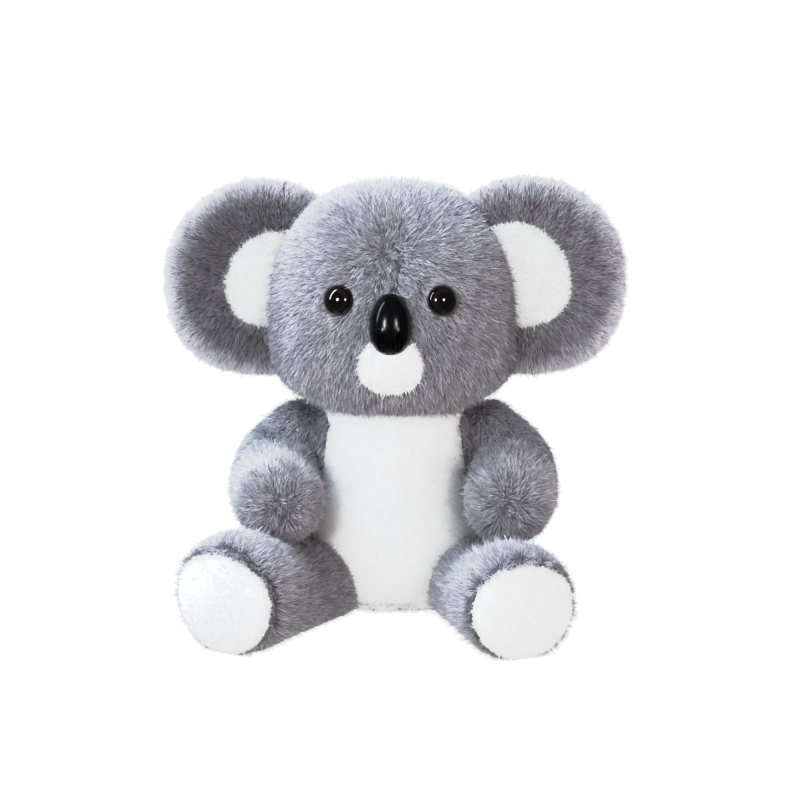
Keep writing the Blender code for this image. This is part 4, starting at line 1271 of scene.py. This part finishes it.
def make_fillings():
    """Fibre fill in every cover, a little short of the cloth."""
    inset = WALL + 0.0012
    fillings = [
        (head_cover_form("head_filling", inset, 64, 40), "head"),
        (torso_cover_form("torso_filling", inset, 64, 14), "torso"),
    ]
    for side, sign in SIDES.items():
        ear = ear_cover_form(f"{side}_ear_filling", side, sign, inset, 64, 16)
        arm = limb_form(f"{side}_arm_filling", arm_stations(sign), 0.0185, 2, inset, 40, 22)
        name = f"{side}_leg_filling"
        leg = limb_form(name, leg_stations(side, sign), SOLE_DEPTH, SOLE_EXPONENT, inset, 40, 24)
        fillings += [(ear, f"{side}_ear"), (arm, f"{side}_arm"), (leg, f"{side}_leg")]
    for filling, body in fillings:
        give(filling, FIBRE)
        fasten([filling], body, [f"{body}_stuffing"])


def make_pouch(segments=64, puckers=16):
    """Round cloth pouch of pellets in the seat, crowned and pinched at its rim."""
    low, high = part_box("pellet_pouch")
    middle = np.array((low + high) / 2)
    radius = (high.x - low.x) / 2
    half = (high.z - low.z) / 2
    sections = []
    pinch = []
    for angle in np.radians(np.arange(-84, 90, 7)):
        share, rise = superround(angle, 2.2)
        sections.append((share * radius * 0.98, share * radius * 0.98, rise * half, 2))
        pinch.append(1 + 0.02 * np.cos(puckers * turn_angles(segments)) * share**6)
    rings = level_rings(sections, segments)
    rings[..., :2] *= np.array(pinch)[..., None]
    pouch = closed_grid("pellet_bag", rings + middle, middle - (0, 0, half), middle + (0, 0, half))
    give(pouch, CANVAS)
    fasten([pouch], "torso", ["pellet_pouch"])


def finish_small_nodes():
    for name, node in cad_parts.items():
        if "washer" in name:
            give(node, WASHER)
        elif name == "neck_thread":
            give(node, THREAD)


# Studio

AMBIENT_COLOUR = (0.27, 0.255, 0.25)
FLOOR_LIGHT_COLOUR = (0.74, 0.72, 0.71)
WALL_LIGHT_COLOUR = (1.6, 1.7, 1.85)
REFLECTED_COLOUR = (0.045, 0.047, 0.049)
BACKDROP_COLOUR = (1, 1, 1)
FLOOR_REACH = 4


def make_floor():
    corners = [(-1, -1, 0), (1, -1, 0), (1, 1, 0), (-1, 1, 0)]
    floor = mesh_object("studio_floor", FLOOR_REACH * np.array(corners), [(0, 1, 2), (0, 2, 3)])
    material = noise_material("pale_floor", grey(0.14), grey(0.15), 3, 0.9, bump=0, specular=0)
    shader = material.node_tree.nodes["Principled BSDF"]
    shader.inputs["Emission Color"].default_value = (*BACKDROP_COLOUR, 1)
    shader.inputs["Emission Strength"].default_value = 1
    floor.data.materials.append(material)
    floor.location.z = -0.0004
    floor.visible_diffuse = False
    floor.visible_glossy = False


def share_between(tree, source, low, high):
    """0 where the source is at or below low, and 1 from high."""
    node = tree.nodes.new("ShaderNodeMapRange")
    node.inputs["From Min"].default_value = low
    node.inputs["From Max"].default_value = high
    tree.links.new(source, node.inputs["Value"])
    return node.outputs[0]


def make_world():
    """White backdrop, soft light from it, the floor and the room, and dim in reflections."""
    world = bpy.data.worlds.new("studio")
    world.use_nodes = True
    bpy.context.scene.world = world
    tree = world.node_tree
    axes = axes_of(tree, tree.nodes.new("ShaderNodeTexCoord").outputs["Generated"])
    height = share_between(tree, axes["Z"], -1, 1)
    wall = colour_mix(tree)
    wall.inputs["B"].default_value = (*WALL_LIGHT_COLOUR, 1)
    tree.links.new(share_between(tree, axes["Y"], 0.05, 0.6), wall.inputs["Factor"])
    room = ramped(tree, height, ((0.40, FLOOR_LIGHT_COLOUR), (0.58, AMBIENT_COLOUR)))
    tree.links.new(room, wall.inputs["A"])
    path = tree.nodes.new("ShaderNodeLightPath")
    last = tree.nodes["Background"]
    tree.links.new(wall.outputs["Result"], last.inputs["Color"])
    for kind, colour in (("Is Glossy Ray", REFLECTED_COLOUR), ("Is Camera Ray", BACKDROP_COLOUR)):
        other = tree.nodes.new("ShaderNodeBackground")
        other.inputs["Color"].default_value = (*colour, 1)
        mix = tree.nodes.new("ShaderNodeMixShader")
        for source, socket in zip((path.outputs[kind], last.outputs[0], other.outputs[0]), mix.inputs):
            tree.links.new(source, socket)
        last = mix
    tree.links.new(last.outputs[0], tree.nodes["World Output"].inputs["Surface"])


def new_lamp(name, shape, size, power):
    data = bpy.data.lights.new(name, "AREA")
    data.shape = shape
    data.size = size
    data.energy = power
    return new_object(name, data)


AIM = (0, 0, 0.12)
LAMPS = (  # name, place, aim, size, power, colour, and whether it shows in reflections
    ("top_light", (-0.48, 0.14, 1.08), AIM, 0.8, 23, (0.72, 0.86, 1.0), False),
    ("left_light", (-1.05, 0.42, 0.50), AIM, 0.5, 4.6, (0.74, 0.88, 1.0), False),
    ("front_light", (-0.95, -0.95, 0.58), AIM, 0.8, 7.6, (0.78, 0.89, 1.0), False),
    ("near_left_light", (-0.48, -1.05, 0.42), AIM, 0.27, 3.0, (0.95, 0.98, 1.0), True),
    ("near_right_light", (0.48, -1.05, 0.42), AIM, 0.25, 2.0, (1.0, 0.97, 0.96), True),
    ("right_light", (1.05, -0.15, 0.38), AIM, 0.6, 2.5, (1.0, 0.96, 0.96), False),
    ("low_light", (0.05, -1.3, 0.10), (0, 0, 0.07), 1.0, 2.6, (1.0, 0.98, 0.97), False),
)


def make_lights():
    for name, place, aim, size, power, colour, reflects in LAMPS:
        lamp = new_lamp(name, "DISK", size, power)
        lamp.data.color = colour
        lamp.location = place
        lamp.rotation_euler = (Vector(aim) - Vector(place)).to_track_quat("-Z", "Y").to_euler()
        lamp.visible_glossy = reflects


def add_streak_light():
    """Thin lamp beside the face that shows only as the curved streak in the koala's right eye."""
    eye = Vector((FACE_SHIFT - EYE_OUT, -0.05, EYE_LEVEL))
    start = eye + 0.12 * Vector((-0.93, -0.33, 0.16))
    end = eye + 0.12 * Vector((-0.36, -0.12, 0.92))
    middle = (start + end) / 2
    along = (end - start).normalized()
    across = (middle - eye).normalized().cross(along).normalized()
    turn = Matrix((along, across, along.cross(across))).transposed()
    lamp = new_lamp("streak_light", "RECTANGLE", (end - start).length, 0.05)
    lamp.data.size_y = 0.012
    lamp.matrix_world = Matrix.Translation(middle) @ turn.to_4x4()
    lamp.visible_diffuse = False
    lamp.visible_camera = False


TONE_CURVE = (
    (0.08, 0.065), (0.2, 0.205), (0.3, 0.39), (0.42, 0.64), (0.56, 0.77), (0.75, 0.84), (0.92, 0.92)
)
CAMERA_TILT = math.radians(11)
CAMERA_DISTANCE = 1.2
CAMERA_AIM_HEIGHT = 0.103
PICTURE_WIDTH = 800
PICTURE_SHIFT = 6  # of the koala to the left, in pixels


def make_tone_curve():
    """Plain display with a soft toe and shoulder, as the photograph has."""
    view = bpy.context.scene.view_settings
    view.view_transform = "Standard"
    view.use_curve_mapping = True
    curve = view.curve_mapping.curves[3]
    for place in TONE_CURVE:
        curve.points.new(*place)
    view.curve_mapping.update()


def make_camera():
    """The photograph's view, from a little above and far enough for a slight perspective."""
    data = bpy.data.cameras.new("camera")
    data.sensor_width = 36
    data.lens = 108
    data.shift_x = PICTURE_SHIFT / PICTURE_WIDTH
    camera = new_object("camera", data)
    rise = CAMERA_DISTANCE * math.sin(CAMERA_TILT)
    camera.location = (0, -CAMERA_DISTANCE * math.cos(CAMERA_TILT), CAMERA_AIM_HEIGHT + rise)
    camera.rotation_euler = (math.pi / 2 - CAMERA_TILT, 0, 0)
    bpy.context.scene.camera = camera


make_camera()
head = make_head()
torso = make_torso()
eye_gloss = eye_material()
for side, sign in SIDES.items():
    make_ear(side, sign, head)
    make_arm(side, sign, torso)
    make_leg(side, sign, torso)
    make_eye(side, sign, eye_gloss)
make_nose()
make_fillings()
make_pouch()
finish_small_nodes()
make_floor()
make_world()
make_lights()
add_streak_light()
make_tone_curve()
